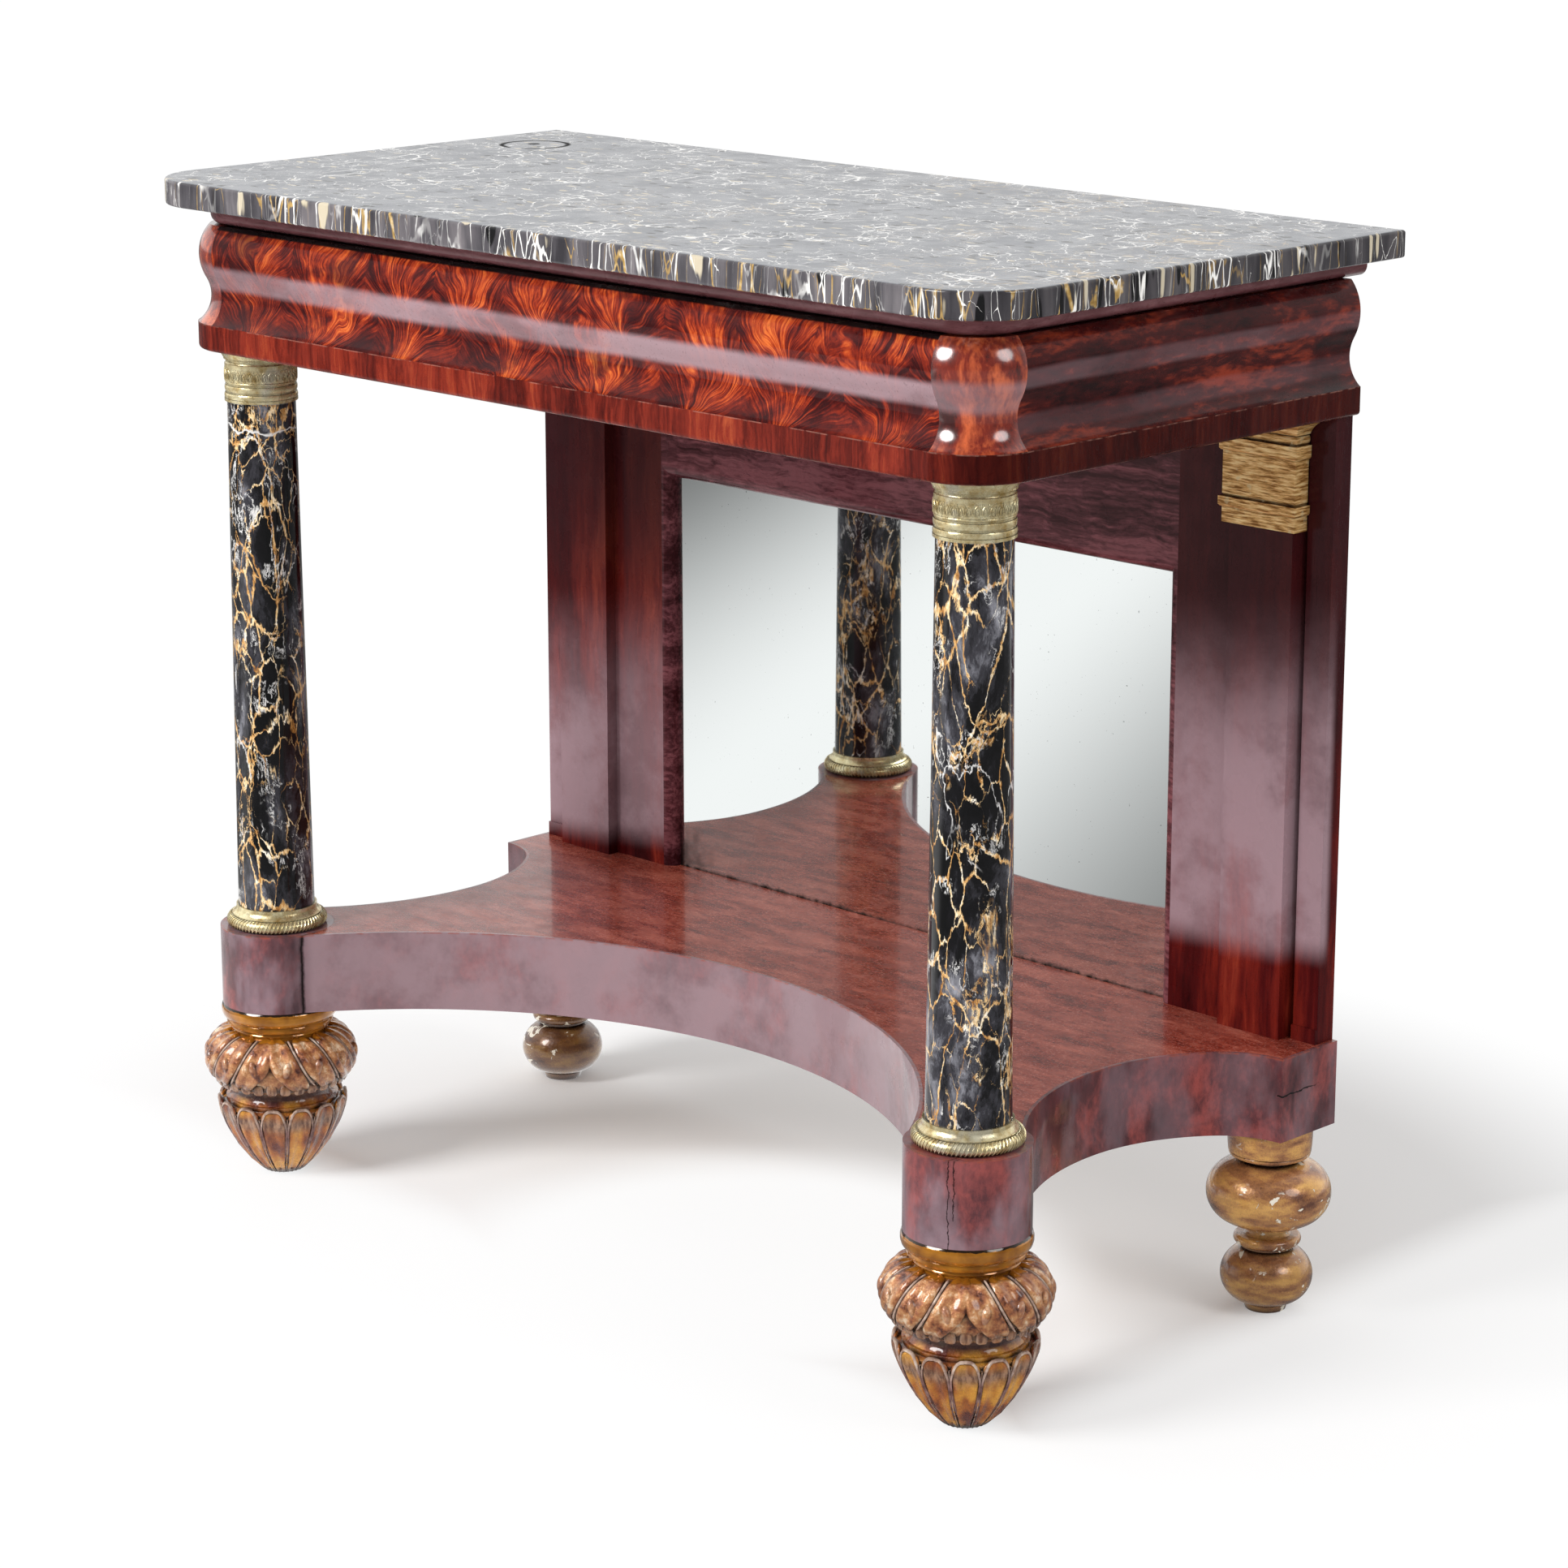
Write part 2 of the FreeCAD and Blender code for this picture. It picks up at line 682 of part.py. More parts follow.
# ---- feet: carved cups and leaf bulbs at the front, turned double balls at the back ----
def petal_ring(level, radius):
    """One closed line round the cup, a shallow arc for each petal."""
    valley = radius * (1 - petal_relief / cup_profile[-1][1])
    step = 360 / petal_count
    edges = []
    for i in range(petal_count):
        points = []
        for share, r in ((-0.5, valley), (0.0, radius), (0.5, valley)):
            turn = math.radians(petal_turn + step * (i + share))
            points.append(V(r * math.cos(turn), r * math.sin(turn), level))
        edges.append(Part.Arc(*points).toShape())
    return Part.Wire(edges)


def foot_outline(start, members, last):
    """Turned members up to the shelf, the last one as tall as is left, then the dowel."""
    foot, head, swell = last
    shape = Outline(section, (0.0, start)).mould(members)
    shape.mould([(foot_height - shape.here[1], foot, head, swell)])
    dowel_top = foot_height + dowel_length
    return shape.line((dowel_radius, foot_height), (dowel_radius, dowel_top), (0.0, dowel_top)).face()


def front_foot():
    cup = Part.makeLoft([petal_ring(level, radius) for level, radius in cup_profile], True, False)
    above = foot_outline(cup_profile[-1][0], front_foot_members, front_ring)
    above = turned(above, 0, 0)
    solid = cup.fuse(above)
    solid.translate(V(column_x, column_y, 0))
    return solid


save_pair("foot_front", front_foot())
save_pair("foot_back", turned(foot_outline(0.0, back_foot_members, back_collar), back_foot_x, back_foot_y))
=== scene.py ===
from math import atan2, cos, pi, radians, sin

import bmesh
import bpy
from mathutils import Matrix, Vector


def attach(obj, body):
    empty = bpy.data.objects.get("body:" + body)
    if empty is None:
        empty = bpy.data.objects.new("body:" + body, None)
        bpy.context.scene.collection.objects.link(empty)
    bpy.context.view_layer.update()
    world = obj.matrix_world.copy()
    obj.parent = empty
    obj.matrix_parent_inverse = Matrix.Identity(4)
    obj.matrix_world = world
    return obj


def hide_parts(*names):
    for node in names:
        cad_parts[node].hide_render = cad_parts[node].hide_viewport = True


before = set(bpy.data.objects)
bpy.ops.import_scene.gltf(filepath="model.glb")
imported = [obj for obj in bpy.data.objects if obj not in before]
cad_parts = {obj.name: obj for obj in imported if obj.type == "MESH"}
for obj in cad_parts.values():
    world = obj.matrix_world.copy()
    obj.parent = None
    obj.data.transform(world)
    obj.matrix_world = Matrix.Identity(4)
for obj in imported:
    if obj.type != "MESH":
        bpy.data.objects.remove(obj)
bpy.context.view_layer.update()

bpy.ops.object.select_all(action="DESELECT")


# Back feet: turned pine balls, gilded with bronze powder over white gesso.
# The gilding has browned, and the gesso shows where it has flaked from the
# balls. They are the CAD's own turnings.

eased = {"interpolation_type": "SMOOTHSTEP"}  # for every range: soft at both its ends


def linear(code):
    """The linear colour of an sRGB hex code."""
    parts = [int(code[i:i + 2], 16) / 255 for i in (0, 2, 4)]
    return [p / 12.92 if p <= 0.04045 else ((p + 0.055) / 1.055) ** 2.4 for p in parts] + [1]


class Nodes:
    """A tree of nodes that is being added to."""

    def __init__(self, tree):
        self.tree = tree

    def add(self, kind, *values, out=0, stops=(), **named):
        """Adds one node. Values fill its inputs in order; a named value is an input if its name begins
        with a capital, else a setting; a hex code is a colour. A texture without a vector reads the
        place. Gives one output, or all of them where out is None."""
        node = self.tree.nodes.new("ShaderNode" + kind)
        inputs = {name: value for name, value in named.items() if name[0].isupper()}
        for name, value in named.items():
            if name not in inputs:
                setattr(node, name, value)
        if kind.startswith("Tex") and "Vector" in node.inputs:
            inputs.setdefault("Vector", self.place)
        given = dict(zip([socket for socket in node.inputs if socket.enabled], values))
        given.update({node.inputs[name.replace("_", " ")]: value for name, value in inputs.items()})
        for socket, value in given.items():
            if isinstance(value, bpy.types.NodeSocket):
                self.tree.links.new(value, socket)
            else:
                socket.default_value = linear(value) if isinstance(value, str) else value
        for i, (level, code) in enumerate(stops):
            points = node.color_ramp.elements
            point = points[i] if i < 2 else points.new(level)
            point.position, point.color = level, linear(code)
        if out is None:
            return node.outputs
        return node.outputs[out] if out else next(socket for socket in node.outputs if socket.enabled)


class Finish(Nodes):
    """A procedural finish, drawn in the table's own place. A pattern's scale is how many of its
    features lie in a metre, so 50 draws patches of 20 mm."""

    def __init__(self, name, **sockets):
        self.material = bpy.data.materials.new(name)
        self.material.use_nodes = True
        super().__init__(self.material.node_tree)
        self.shader = self.tree.nodes["Principled BSDF"]
        for socket, value in sockets.items():
            self.shader.inputs[socket.replace("_", " ")].default_value = value
        self.place = self.add("TexCoord", out="Object")
        self.x, self.y, self.z = self.add("SeparateXYZ", self.place, out=None)

    def near(self, value, centre, reach):
        """1 at a centre, falling to 0 at its reach."""
        away = self.add("Math", self.add("Math", value, centre, operation="SUBTRACT"), operation="ABSOLUTE")
        return self.add("MapRange", away, 0, reach, 1, 0, **eased)

    def patches(self, scale, detail, low, high, start=0, end=1, **more):
        """Soft patches of noise, eased from low to high and kept within start and end."""
        noise = self.add("TexNoise", Scale=scale, Detail=detail, **more)
        return self.add("MapRange", noise, low, high, start, end, **eased)

    def facing_up(self):
        """1 where the surface faces up."""
        rise = self.add("SeparateXYZ", self.add("NewGeometry", out="Normal"), out="Z")
        return self.add("MapRange", rise, 0.7, 1, **eased)

    def done(self, colour, rough, height=None, depth=0.0004, **links):
        """Joins up the shader. The depth is the relief's, in metres."""
        if height is not None:
            links["Normal"] = self.add("Bump", Height=height, Distance=depth, Strength=1.0)
        for name, socket in {"Base Color": colour, "Roughness": rough, **links}.items():
            if isinstance(socket, bpy.types.NodeSocket):
                self.tree.links.new(socket, self.shader.inputs[name])
            else:
                self.shader.inputs[name].default_value = socket
        return self.material


def wear(names, material):
    """Gives CAD nodes a material; a name ending in a star stands for its left and right."""
    for name in names.split():
        for node in ([name[:-1] + side for side in ("left", "right")] if name.endswith("*") else [name]):
            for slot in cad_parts[node].material_slots:
                slot.material = material


def painted_hollow_shade(f, tone, reach, code):
    """Painted shade: darkens the recesses that ambient occlusion finds."""
    hollow = f.add("AmbientOcclusion", Distance=reach, samples=6, out="AO")
    return f.add("Mix", f.add("MapRange", hollow, 0.35, 0.95, 0.92, 0, **eased), tone, code, data_type="RGBA")


# Painted shade in the recesses and over the left foot, which the table shades; redder near the floor, with
# flakes down to the gesso.
f = Finish("browned gilding", Specular_IOR_Level=0.6, Coat_Weight=0.8, Coat_Roughness=0.07)
cloud = f.add("Math", f.add("Math", f.add("TexNoise",
            Vector=f.add("VectorMath", f.place, (0.5, 0.5, 1.5), operation="MULTIPLY"), Scale=52, Detail=6,
            Roughness=0.6), 0.8, operation="MULTIPLY"),
    f.add("Math", f.add("TexNoise", Scale=900, Detail=3), 0.2, operation="MULTIPLY"), operation="ADD")
tone = f.add("ValToRGB", cloud, stops=((0.36, "6C4230"), (0.48, "B47C50"), (0.62, "F0B868")))
# Painted shade: first in the recesses, then over the whole left foot.
tone = painted_hollow_shade(f, tone, 0.006, "2C1812")
tone = f.add("Mix", f.add("Math", f.add("Math", f.x, 0, operation="LESS_THAN"), 0.55, operation="MULTIPLY"),
    tone, "2A1A12", data_type="RGBA")
tone = f.add("Mix", f.add("MapRange", f.z, 0.075, 0.06, 0, 0.25, **eased), tone, "3A1C12", data_type="RGBA")
flakes = f.add("Math", f.patches(58, 4, 0.595, 0.61, Roughness=0.55, Distortion=0.8),
    f.patches(17, 2, 0.44, 0.5), operation="MULTIPLY")
tone = f.add("Mix", flakes, tone, "EFE7D6", data_type="RGBA")
rough = f.add("Math", f.patches(160, 4, 0.3, 0.7, 0.18, 0.42), f.add("Math", flakes, 0.8, operation="MULTIPLY"),
    operation="MAXIMUM")
height = f.add("Math", f.add("TexNoise", Scale=230, Detail=5, Roughness=0.6), flakes, operation="SUBTRACT")
wear("foot_back_*", f.done(tone, rough, height, 0.0004,
        Metallic=f.add("MapRange", flakes, 0, 0.6, 0.25, 0, **eased)))


# Front feet: turned from pine and carved, then gilded on red clay. Fourteen
# petals make a cup, and fourteen leaves curl over the bulb above it, half of
# them to each side of a middle that faces the corner of the table.

# Streaked down the cup, bare along two rings and on the ridges, burnished on the neck, and black at the top:
# painted shade in the recesses, the cove and the gap under the block.
f = Finish("red gold leaf", Specular_IOR_Level=0.6, Coat_Weight=1.0, Coat_Roughness=0.06)
# The palest stop is painted glints, where the noise peaks.
tone = f.add("ValToRGB", f.add("TexNoise", Scale=75, Detail=6, Roughness=0.65),
    stops=((0.36, "54261A"), (0.46, "A4623A"), (0.57, "D09460"), (0.68, "FFE2C0")))
fluted = f.add("ValToRGB", f.add("TexNoise", Vector=f.add("VectorMath", f.place, (1, 1, 0.22),
            operation="MULTIPLY"), Scale=48, Detail=5),
    stops=((0.36, "702A16"), (0.48, "BC6A20"), (0.62, "F0AA3C")))
tone = f.add("Mix", f.add("Math", f.z, 0.08, operation="LESS_THAN"), tone, fluted, data_type="RGBA")
waver = f.add("Math", f.z, f.add("Math", f.add("TexNoise", Scale=60, Detail=4), 0.012, operation="MULTIPLY"),
    operation="ADD")
bare = f.add("Math", f.near(waver, 0.0655, 0.013), f.near(waver, 0.0998, 0.008), operation="MAXIMUM")
tone = f.add("Mix", bare, tone, f.add("ValToRGB", f.add("TexNoise",
            Vector=f.add("VectorMath", f.place, (1, 1, 0.07), operation="MULTIPLY"), Scale=260, Detail=4,
            Roughness=0.6), stops=((0.4, "6A4432"), (0.6, "B48A6C"))), data_type="RGBA")
ridge = f.add("MapRange", f.add("NewGeometry", out="Pointiness"), 0.52, 0.60, 0, 0.85, **eased)
tone = f.add("Mix", f.add("Math", ridge, f.patches(260, 4, 0.35, 0.6), operation="MULTIPLY"), tone, "BCA496",
    data_type="RGBA")
# Painted shade in the recesses.
tone = painted_hollow_shade(f, tone, 0.009, "1E0F0A")
smooth = f.add("MapRange", f.z, 0.1375, 0.139, **eased)
tone = f.add("Mix", smooth, tone, f.add("ValToRGB", f.add("TexNoise", Scale=60, Detail=4),
        stops=((0.3, "8E5418"), (0.7, "D08A28"))), data_type="RGBA")
# Painted shade in the cove between the cup and the bulb.
tone = f.add("Mix", f.add("Math", f.near(f.z, 0.082, 0.0085), 0.9, operation="MULTIPLY"), tone, "462C2E",
    data_type="RGBA")
# Painted shade: a ragged black line at the top, in the gap under the block.
ragged_gap_shade = f.add("Math", f.z, f.add("Math", f.add("TexNoise", Scale=150, Detail=4, Roughness=0.7), 0.003,
        operation="MULTIPLY"), operation="ADD")
tone = f.add("Mix", f.add("MapRange", ragged_gap_shade, 0.1652, 0.1658, 0, 0.95, **eased), tone, "0A0605",
    data_type="RGBA")
height = f.add("Math", f.add("TexNoise", Scale=190, Detail=5, Roughness=0.65),
    f.add("MapRange", smooth, 0, 1, 1, 0.08, **eased), operation="MULTIPLY")
rough = f.add("Math", f.patches(160, 4, 0.3, 0.7, 0.16, 0.4), f.add("MapRange", smooth, 0, 1, 1, 0.4, **eased),
    operation="MULTIPLY")
foot_gilding = f.done(tone, rough, height, 0.0018, Metallic=f.add("MapRange", smooth, 0, 1, 0.3, 0.45, **eased))

# Rubbed to the gesso at the top of each petal.
f = Finish("rubbed petal rims", Specular_IOR_Level=0.5, Coat_Weight=0.4, Coat_Roughness=0.15)
tone = f.add("Mix", f.add("MapRange", f.z, 0.05, 0.066, **eased),
    f.add("ValToRGB", f.add("TexNoise", Scale=160, Detail=5), stops=((0.35, "5A3430"), (0.65, "96706A"))),
    f.add("ValToRGB", f.add("TexNoise", Scale=140, Detail=5, Roughness=0.6),
        stops=((0.35, "7A5C50"), (0.5, "AC9080"), (0.7, "D0BCAC"))), data_type="RGBA")
# Painted shade in the recesses.
rim_gilding = f.done(painted_hollow_shade(f, tone, 0.002, "3A2018"), f.patches(200, 4, 0.3, 0.7, 0.3, 0.55),
    f.add("TexNoise", Scale=420, Detail=4), 0.0004)

foot_face = radians(-48)  # where the middle of a front foot faces, round from +X
mm = 0.001


def begin(shape, name, at, **sizes):
    """Adds a primitive under a name, and leaves it in edit mode with all of it selected."""
    getattr(bpy.ops.mesh, "primitive_" + shape + "_add")(location=at, **sizes)
    made = bpy.context.object
    made.name = made.data.name = name
    bpy.ops.object.mode_set(mode="EDIT")
    return made


def pick(made, test):
    """Selects the vertices whose number and place pass a test."""
    mesh = bmesh.from_edit_mesh(made.data)
    mesh.verts.index_update()
    for vert in mesh.verts:
        vert.select_set(test(vert.index, made.matrix_world @ vert.co))
    mesh.select_flush(True)
    bmesh.update_edit_mesh(made.data)


def turned(name, stations, sides=96):
    """A solid turned about the origin's axis, from (radius, height) stations in millimetres."""
    radius, level = stations[0]
    made = begin("circle", name, (0, 0, level * mm), vertices=sides, radius=radius * mm, fill_type="NGON")
    for wider, higher in stations[1:]:
        bpy.ops.mesh.extrude_region_move(TRANSFORM_OT_translate={"value": (0, 0, (higher - level) * mm)})
        bpy.ops.transform.resize(value=(wider / radius, wider / radius, 1), center_override=(0, 0, higher * mm))
        radius, level = wider, higher
    return made


def blade(name, sides, dish, stations):
    """A leaf, petal or rib on a turned piece: an oval ring, dished by its share on the outer side, and
    drawn along (radius, height, half width, half thickness, lean in degrees) stations."""
    path = [Vector((s[0], 0, s[1])) * mm for s in stations]
    ends = [(path[min(i + 1, len(path) - 1)] - path[max(i - 1, 0)]) for i in range(len(path))]
    tips = [atan2(e.x, e.z) for e in ends]
    made = begin("circle", name, path[0], vertices=sides, radius=1, rotation=(0, tips[0], 0), fill_type="NGON")
    wide, thick = stations[0][2] * mm, stations[0][3] * mm
    bpy.ops.transform.resize(value=(thick, wide, thick), center_override=path[0])
    if dish:
        out = Vector((cos(tips[0]), 0, -sin(tips[0])))
        out = out if out.x > 0 or (abs(out.x) < 0.3 and out.z > 0) else -out
        pick(made, lambda i, at: (at - path[0]).dot(out) > thick * 0.95)
        bpy.ops.transform.translate(value=-out * thick * dish)
        bpy.ops.mesh.select_all(action="SELECT")
    for i in range(1, len(path)):
        bpy.ops.mesh.extrude_region_move(TRANSFORM_OT_translate={"value": path[i] - path[i - 1]})
        bpy.ops.transform.rotate(value=-(tips[i] - tips[i - 1]), orient_axis="Y", center_override=path[i])
        grown = [stations[i][k] / stations[i - 1][k] for k in (2, 3)]
        bpy.ops.transform.resize(value=(grown[1], grown[0], grown[1]), center_override=path[i])
    for i, station in enumerate(stations):
        if station[4]:
            pick(made, lambda k, at: k // sides == i)
            bpy.ops.transform.rotate(value=-radians(station[4]), orient_axis="Z", center_override=(0, 0, 0))
    return made


def round_again(count, whole=360):
    """Copies what is being edited round the axis, count in all, evenly over a whole in degrees."""
    bpy.ops.mesh.select_all(action="SELECT")
    bpy.ops.mesh.spin(dupli=True, steps=count - 1, angle=-radians(whole * (count - 1) / count),
                      center=(0, 0, 0), axis=(0, 0, 1))


def close(made, material, smooth=40, soften=0, mirror=False):
    """Ends the editing: faces outward, modifiers applied, smooth, at the table's origin."""
    bpy.ops.mesh.select_all(action="SELECT")
    bpy.ops.mesh.normals_make_consistent(inside=False)
    bpy.ops.object.mode_set(mode="OBJECT")
    bpy.ops.object.transform_apply(location=True, rotation=True, scale=True)
    if soften:
        made.modifiers.new("soften", "SUBSURF").levels = soften
        bpy.ops.object.modifier_apply(modifier="soften")
    if mirror:
        both = made.modifiers.new("other half", "MIRROR")
        both.use_axis = (False, True, False)
        both.use_mirror_merge = False
        bpy.ops.object.modifier_apply(modifier="other half")
    bpy.ops.object.shade_smooth_by_angle(angle=radians(smooth))
    made.data.materials.clear()
    made.data.materials.append(material)
    return made


def stand(made, name, node, places, turn=0):
    """Stands copies of a finished piece at places on the floor, each for its side of the table, and in
    place of the CAD node of that side if one is named."""
    for side, (x, y) in places.items():
        bpy.ops.object.select_all(action="DESELECT")
        made.select_set(True)
        bpy.context.view_layer.objects.active = made
        bpy.ops.object.duplicate()
        copy = bpy.context.object
        copy.name = copy.data.name = name + "_" + side
        copy.location, copy.rotation_euler = (x, y, 0), (0, 0, turn)
        bpy.ops.object.transform_apply(location=True, rotation=True, scale=True)
        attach(copy, "root")
        if node:
            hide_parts(node + "_" + side)
    bpy.data.objects.remove(made)
    bpy.ops.object.select_all(action="DESELECT")


def carving(made, count, name, material, smooth, soften=0, mirror=False):
    """Finishes one carved form of the front feet: copied round them, or round half of them and mirrored."""
    round_again(count, 180 if mirror else 360)
    stand(close(made, material, smooth, soften, mirror), name, None, column_places, foot_face)


column_places = {"left": (-0.4324, -0.1784), "right": (0.4324, -0.1784)}
foot_stations = [(15, 0), (17.5, 1), (19, 4), (28.5, 14), (40, 30), (49.5, 48), (55, 62), (56.5, 69), (52, 71),
    (52.4, 73), (52, 75), (49, 75.2), (46.4, 78), (45, 82), (44.5, 88.6), (52, 88.8), (56, 90), (58, 91.8),
    (58.6, 94), (61, 98), (63.6, 103), (65, 108.5), (65, 114), (62.5, 122), (57, 130), (50, 136.2),
    (44.5, 138.4), (43.5, 139), (43.5, 140.4), (44.4, 140.7), (45.2, 142), (44.5, 143.4), (44.3, 143.7),
    (46.4, 144.2), (48.6, 146), (49.4, 148.4), (48.8, 150.6), (48.4, 151.2), (50.6, 152), (52.8, 154.6),
    (53.8, 158), (53.8, 161.4), (53, 164.2), (51.6, 166)]
stand(close(turned("foot core", foot_stations), foot_gilding, 30), "foot_turning", "foot_front",
    column_places, foot_face)

petals, leaves = 14, 7  # all the petals, and the leaves of one half
lean = 12.86  # half the step from leaf to leaf, in degrees
leaf = blade("leaf", 12, 0.75, [(42, 139, 4, 3, lean - 9), (48, 138, 8.5, 4, lean - 8.5),
        (55, 134.8, 11.5, 5, lean - 7), (61.5, 128.5, 13.5, 6, lean - 4.5), (65.5, 120, 14.6, 6.6, lean - 1.5),
        (66.8, 111, 14.6, 6.4, lean + 2.5), (65.5, 103.5, 12.6, 5.6, lean + 7.5),
        (63.2, 98.5, 9, 4.4, lean + 12), (60.5, 95.5, 4.5, 2.6, lean + 15.5)])
carving(leaf, leaves, "foot_leaves", foot_gilding, 50, 2, True)

seam = blade("seam", 6, 0, [(47, 139.3, 1.1, 1.1, 2 * lean - 9), (54.8, 137, 1.4, 1.4, 2 * lean - 8),
        (62.6, 130.6, 1.7, 1.7, 2 * lean - 5.5), (67.6, 120.5, 1.8, 1.8, 2 * lean - 1.5),
        (69, 111, 1.8, 1.8, 2 * lean + 2.5), (67.4, 103, 1.6, 1.6, 2 * lean + 7.5),
        (64.6, 98, 1, 1, 2 * lean + 11.5)])
carving(seam, leaves, "foot_seams", rim_gilding, 60, 1, True)

curl = blade("curl", 8, 0.5, [(62, 123, 1.6, 1.5, 3), (66.2, 115.5, 3.6, 3.4, 6), (67.6, 108, 5.2, 4.4, 11),
        (66, 100.5, 5.4, 4.2, 17), (62.5, 95.8, 4.2, 3.2, 21), (59.5, 93.5, 2, 1.8, 22)])
carving(curl, leaves, "foot_curls", foot_gilding, 50, 1, True)

oval_place = (66.5 * mm, 0, 116 * mm)
oval = begin("uv_sphere", "oval", oval_place, segments=16, ring_count=10, radius=mm)
bpy.ops.transform.resize(value=(5.5, 4.4, 9), center_override=oval_place)
bpy.ops.transform.rotate(value=radians(20), orient_axis="X", center_override=oval_place)
bpy.ops.transform.rotate(value=-radians(lean), orient_axis="Z", center_override=(0, 0, 0))
carving(oval, leaves, "foot_ovals", foot_gilding, 50, 0, True)

fringe = blade("fringe", 8, 0.5, [(60.6, 102, 4.4, 2.4, 0), (61.6, 97, 5.6, 2.4, 0), (60.8, 92, 5.5, 2, 0),
        (59.8, 89.6, 3.8, 1.3, 0)])
carving(fringe, 30, "foot_fringe", foot_gilding, 50, 1)

petal = blade("petal", 12, 0.9, [(56.6, 73.6, 3.6, 1.6, 0), (57.0, 72.2, 8.6, 2.9, 0), (56.8, 69, 12.2, 3.9, 0),
        (55.6, 63, 13.0, 4.4, 0), (50.4, 48, 11.6, 4.4, 0), (40.8, 30, 9.2, 4.2, 0), (29, 14, 6.6, 3.8, 0),
        (19, 4, 4.5, 3.4, 0), (15.6, 0.9, 3.4, 2.4, 0)])
carving(petal, petals, "foot_petals", foot_gilding, 50, 2)

# Each petal's rim is a ring, moved step by step onto the edge of the petal, whose face the profile
# gives as (height, radius) in millimetres. The rim stands proud of it.
profile = [(0, 15), (4, 19), (14, 29), (30, 40.8), (48, 50.4), (63, 55.6), (69, 56.8), (80, 57)]
steps, sides, start, ring, proud = 36, 6, (0.05, 0, 0.04), 0.012, 1.6
middle, half_height, half_width = 40, 34.2, 12.7
rim = begin("torus", "rim", start, rotation=(0, pi / 2, 0), major_segments=steps, minor_segments=sides,
    major_radius=ring, minor_radius=0.0016)
for k in range(steps):
    aside, above = sin(k * pi / (steps / 2)), -cos(k * pi / (steps / 2))
    level = middle + half_height * above
    low = max(p for p in profile if p[0] <= level)
    high = min(p for p in profile if p[0] > level)
    radius = low[1] + (high[1] - low[1]) * (level - low[0]) / (high[0] - low[0]) + proud
    wide = half_width * abs(aside) ** 0.6 * (1 if aside > 0 else -1) * min(1, 0.3 + level / 81)
    thin = 0.5 + level / 148
    pick(rim, lambda i, at: i // sides == k)
    bpy.ops.transform.translate(value=(radius * mm - start[0], wide * mm - ring * aside,
            level * mm - start[2] - ring * above))
    bpy.ops.transform.resize(value=(thin, thin, thin), center_override=(radius * mm, wide * mm, level * mm))
carving(rim, petals, "foot_rims", rim_gilding, 60)

rib = blade("rib", 6, 0, [(58, 66, 0.9, 1.6, lean), (52.5, 50, 1, 1.8, lean), (42.8, 30, 1, 1.8, lean),
        (31, 14, 0.8, 1.5, lean), (22, 5, 0.6, 1, lean)])
carving(rib, petals, "foot_ribs", foot_gilding, 50)


# Shelf: a pine core with a thin veneered top and mahogany facings, shaped
# with a bay at the front and at each end. Dust lies on the top; each block
# under a column has cracked or pulled from its neighbour.

red_polish = {"Specular_IOR_Level": 0.16, "Specular_Tint": (1.0, 0.4, 0.4, 1.0), "Coat_Roughness": 0.08}


def veneer(name, stops, grain, figure=18, gloss=0.28, dust=0.0, shade=None, streak=0.45, marks=None, coat=0.1):
    """Polished mahogany: long fibres, softer figure, short dark pores and a worn polish. A shade is painted
    shade, (axis, from, to, colour), a darkening drawn along one axis, and marks draws what this piece has
    suffered and the painted reflection on it."""
    f = Finish(name, Coat_Weight=coat, **red_polish)
    along = f.add("VectorMath", f.place, grain, operation="MULTIPLY")
    sway = f.add("VectorMath", f.add("TexNoise", Scale=figure * 0.6, Detail=3.0, out="Color"),
        (0.014, 0.014, 0.014), operation="MULTIPLY")
    along = f.add("VectorMath", along, sway, operation="ADD")
    fibres = f.add("TexNoise", Vector=along, Scale=figure * 9, Detail=5, Roughness=0.6, Distortion=0.2)
    broad = f.add("TexNoise", Vector=along, Scale=figure, Detail=4, Roughness=0.55, Distortion=0.6)
    field = f.add("Math", f.add("Math", fibres, streak, operation="MULTIPLY"),
        f.add("Math", broad, 1 - streak, operation="MULTIPLY"), operation="ADD")
    tone = f.add("ValToRGB", field, stops=stops)
    pores = f.patches(1100, 2, 0.6, 0.72, Vector=along)
    tone = f.add("Mix", f.add("Math", pores, 0.35, operation="MULTIPLY"), tone, "100404", data_type="RGBA")
    # Painted shade, darkening along one axis.
    if shade:
        socket, low, high, code = shade
        tone = f.add("Mix", f.add("MapRange", getattr(f, socket), low, high, 0, 0.8, **eased), tone, code,
            data_type="RGBA")
    if marks:
        tone = marks(f, tone)
    rough = f.patches(45, 4, 0.3, 0.75, gloss, gloss + 0.18)
    if dust:
        up = f.facing_up()
        specks = f.patches(420, 3, 0.54, 0.64, Roughness=0.75)
        film = f.add("Math", f.add("Math", specks, 0.30 * dust, operation="MULTIPLY"),
            f.patches(9, 4, 0.35, 0.7, 0.0, 0.08 * dust), operation="ADD")
        film = f.add("Math", film, up, operation="MULTIPLY")
        tone = f.add("Mix", film, tone, "C0887C", data_type="RGBA")
        rough = f.add("Math", rough, f.add("Math", film, 0.5, operation="MULTIPLY"), operation="ADD")
    return f.done(tone, rough, f.add("Math", f.add("TexNoise", Scale=60, Detail=3),
            f.add("Math", pores, 0.5, operation="MULTIPLY"), operation="SUBTRACT"), 0.0001)


def painted_reflection(f, tone, amount, colour):
    """Painted reflection of the bright room in the polish: cloudy, with the figure showing through."""
    cloud = f.patches(11, 5, 0.34, 0.58, 0.6, 1.0, Roughness=0.65)
    return f.add("Mix", f.add("Math", cloud, amount, operation="MULTIPLY"), tone, colour, data_type="RGBA")


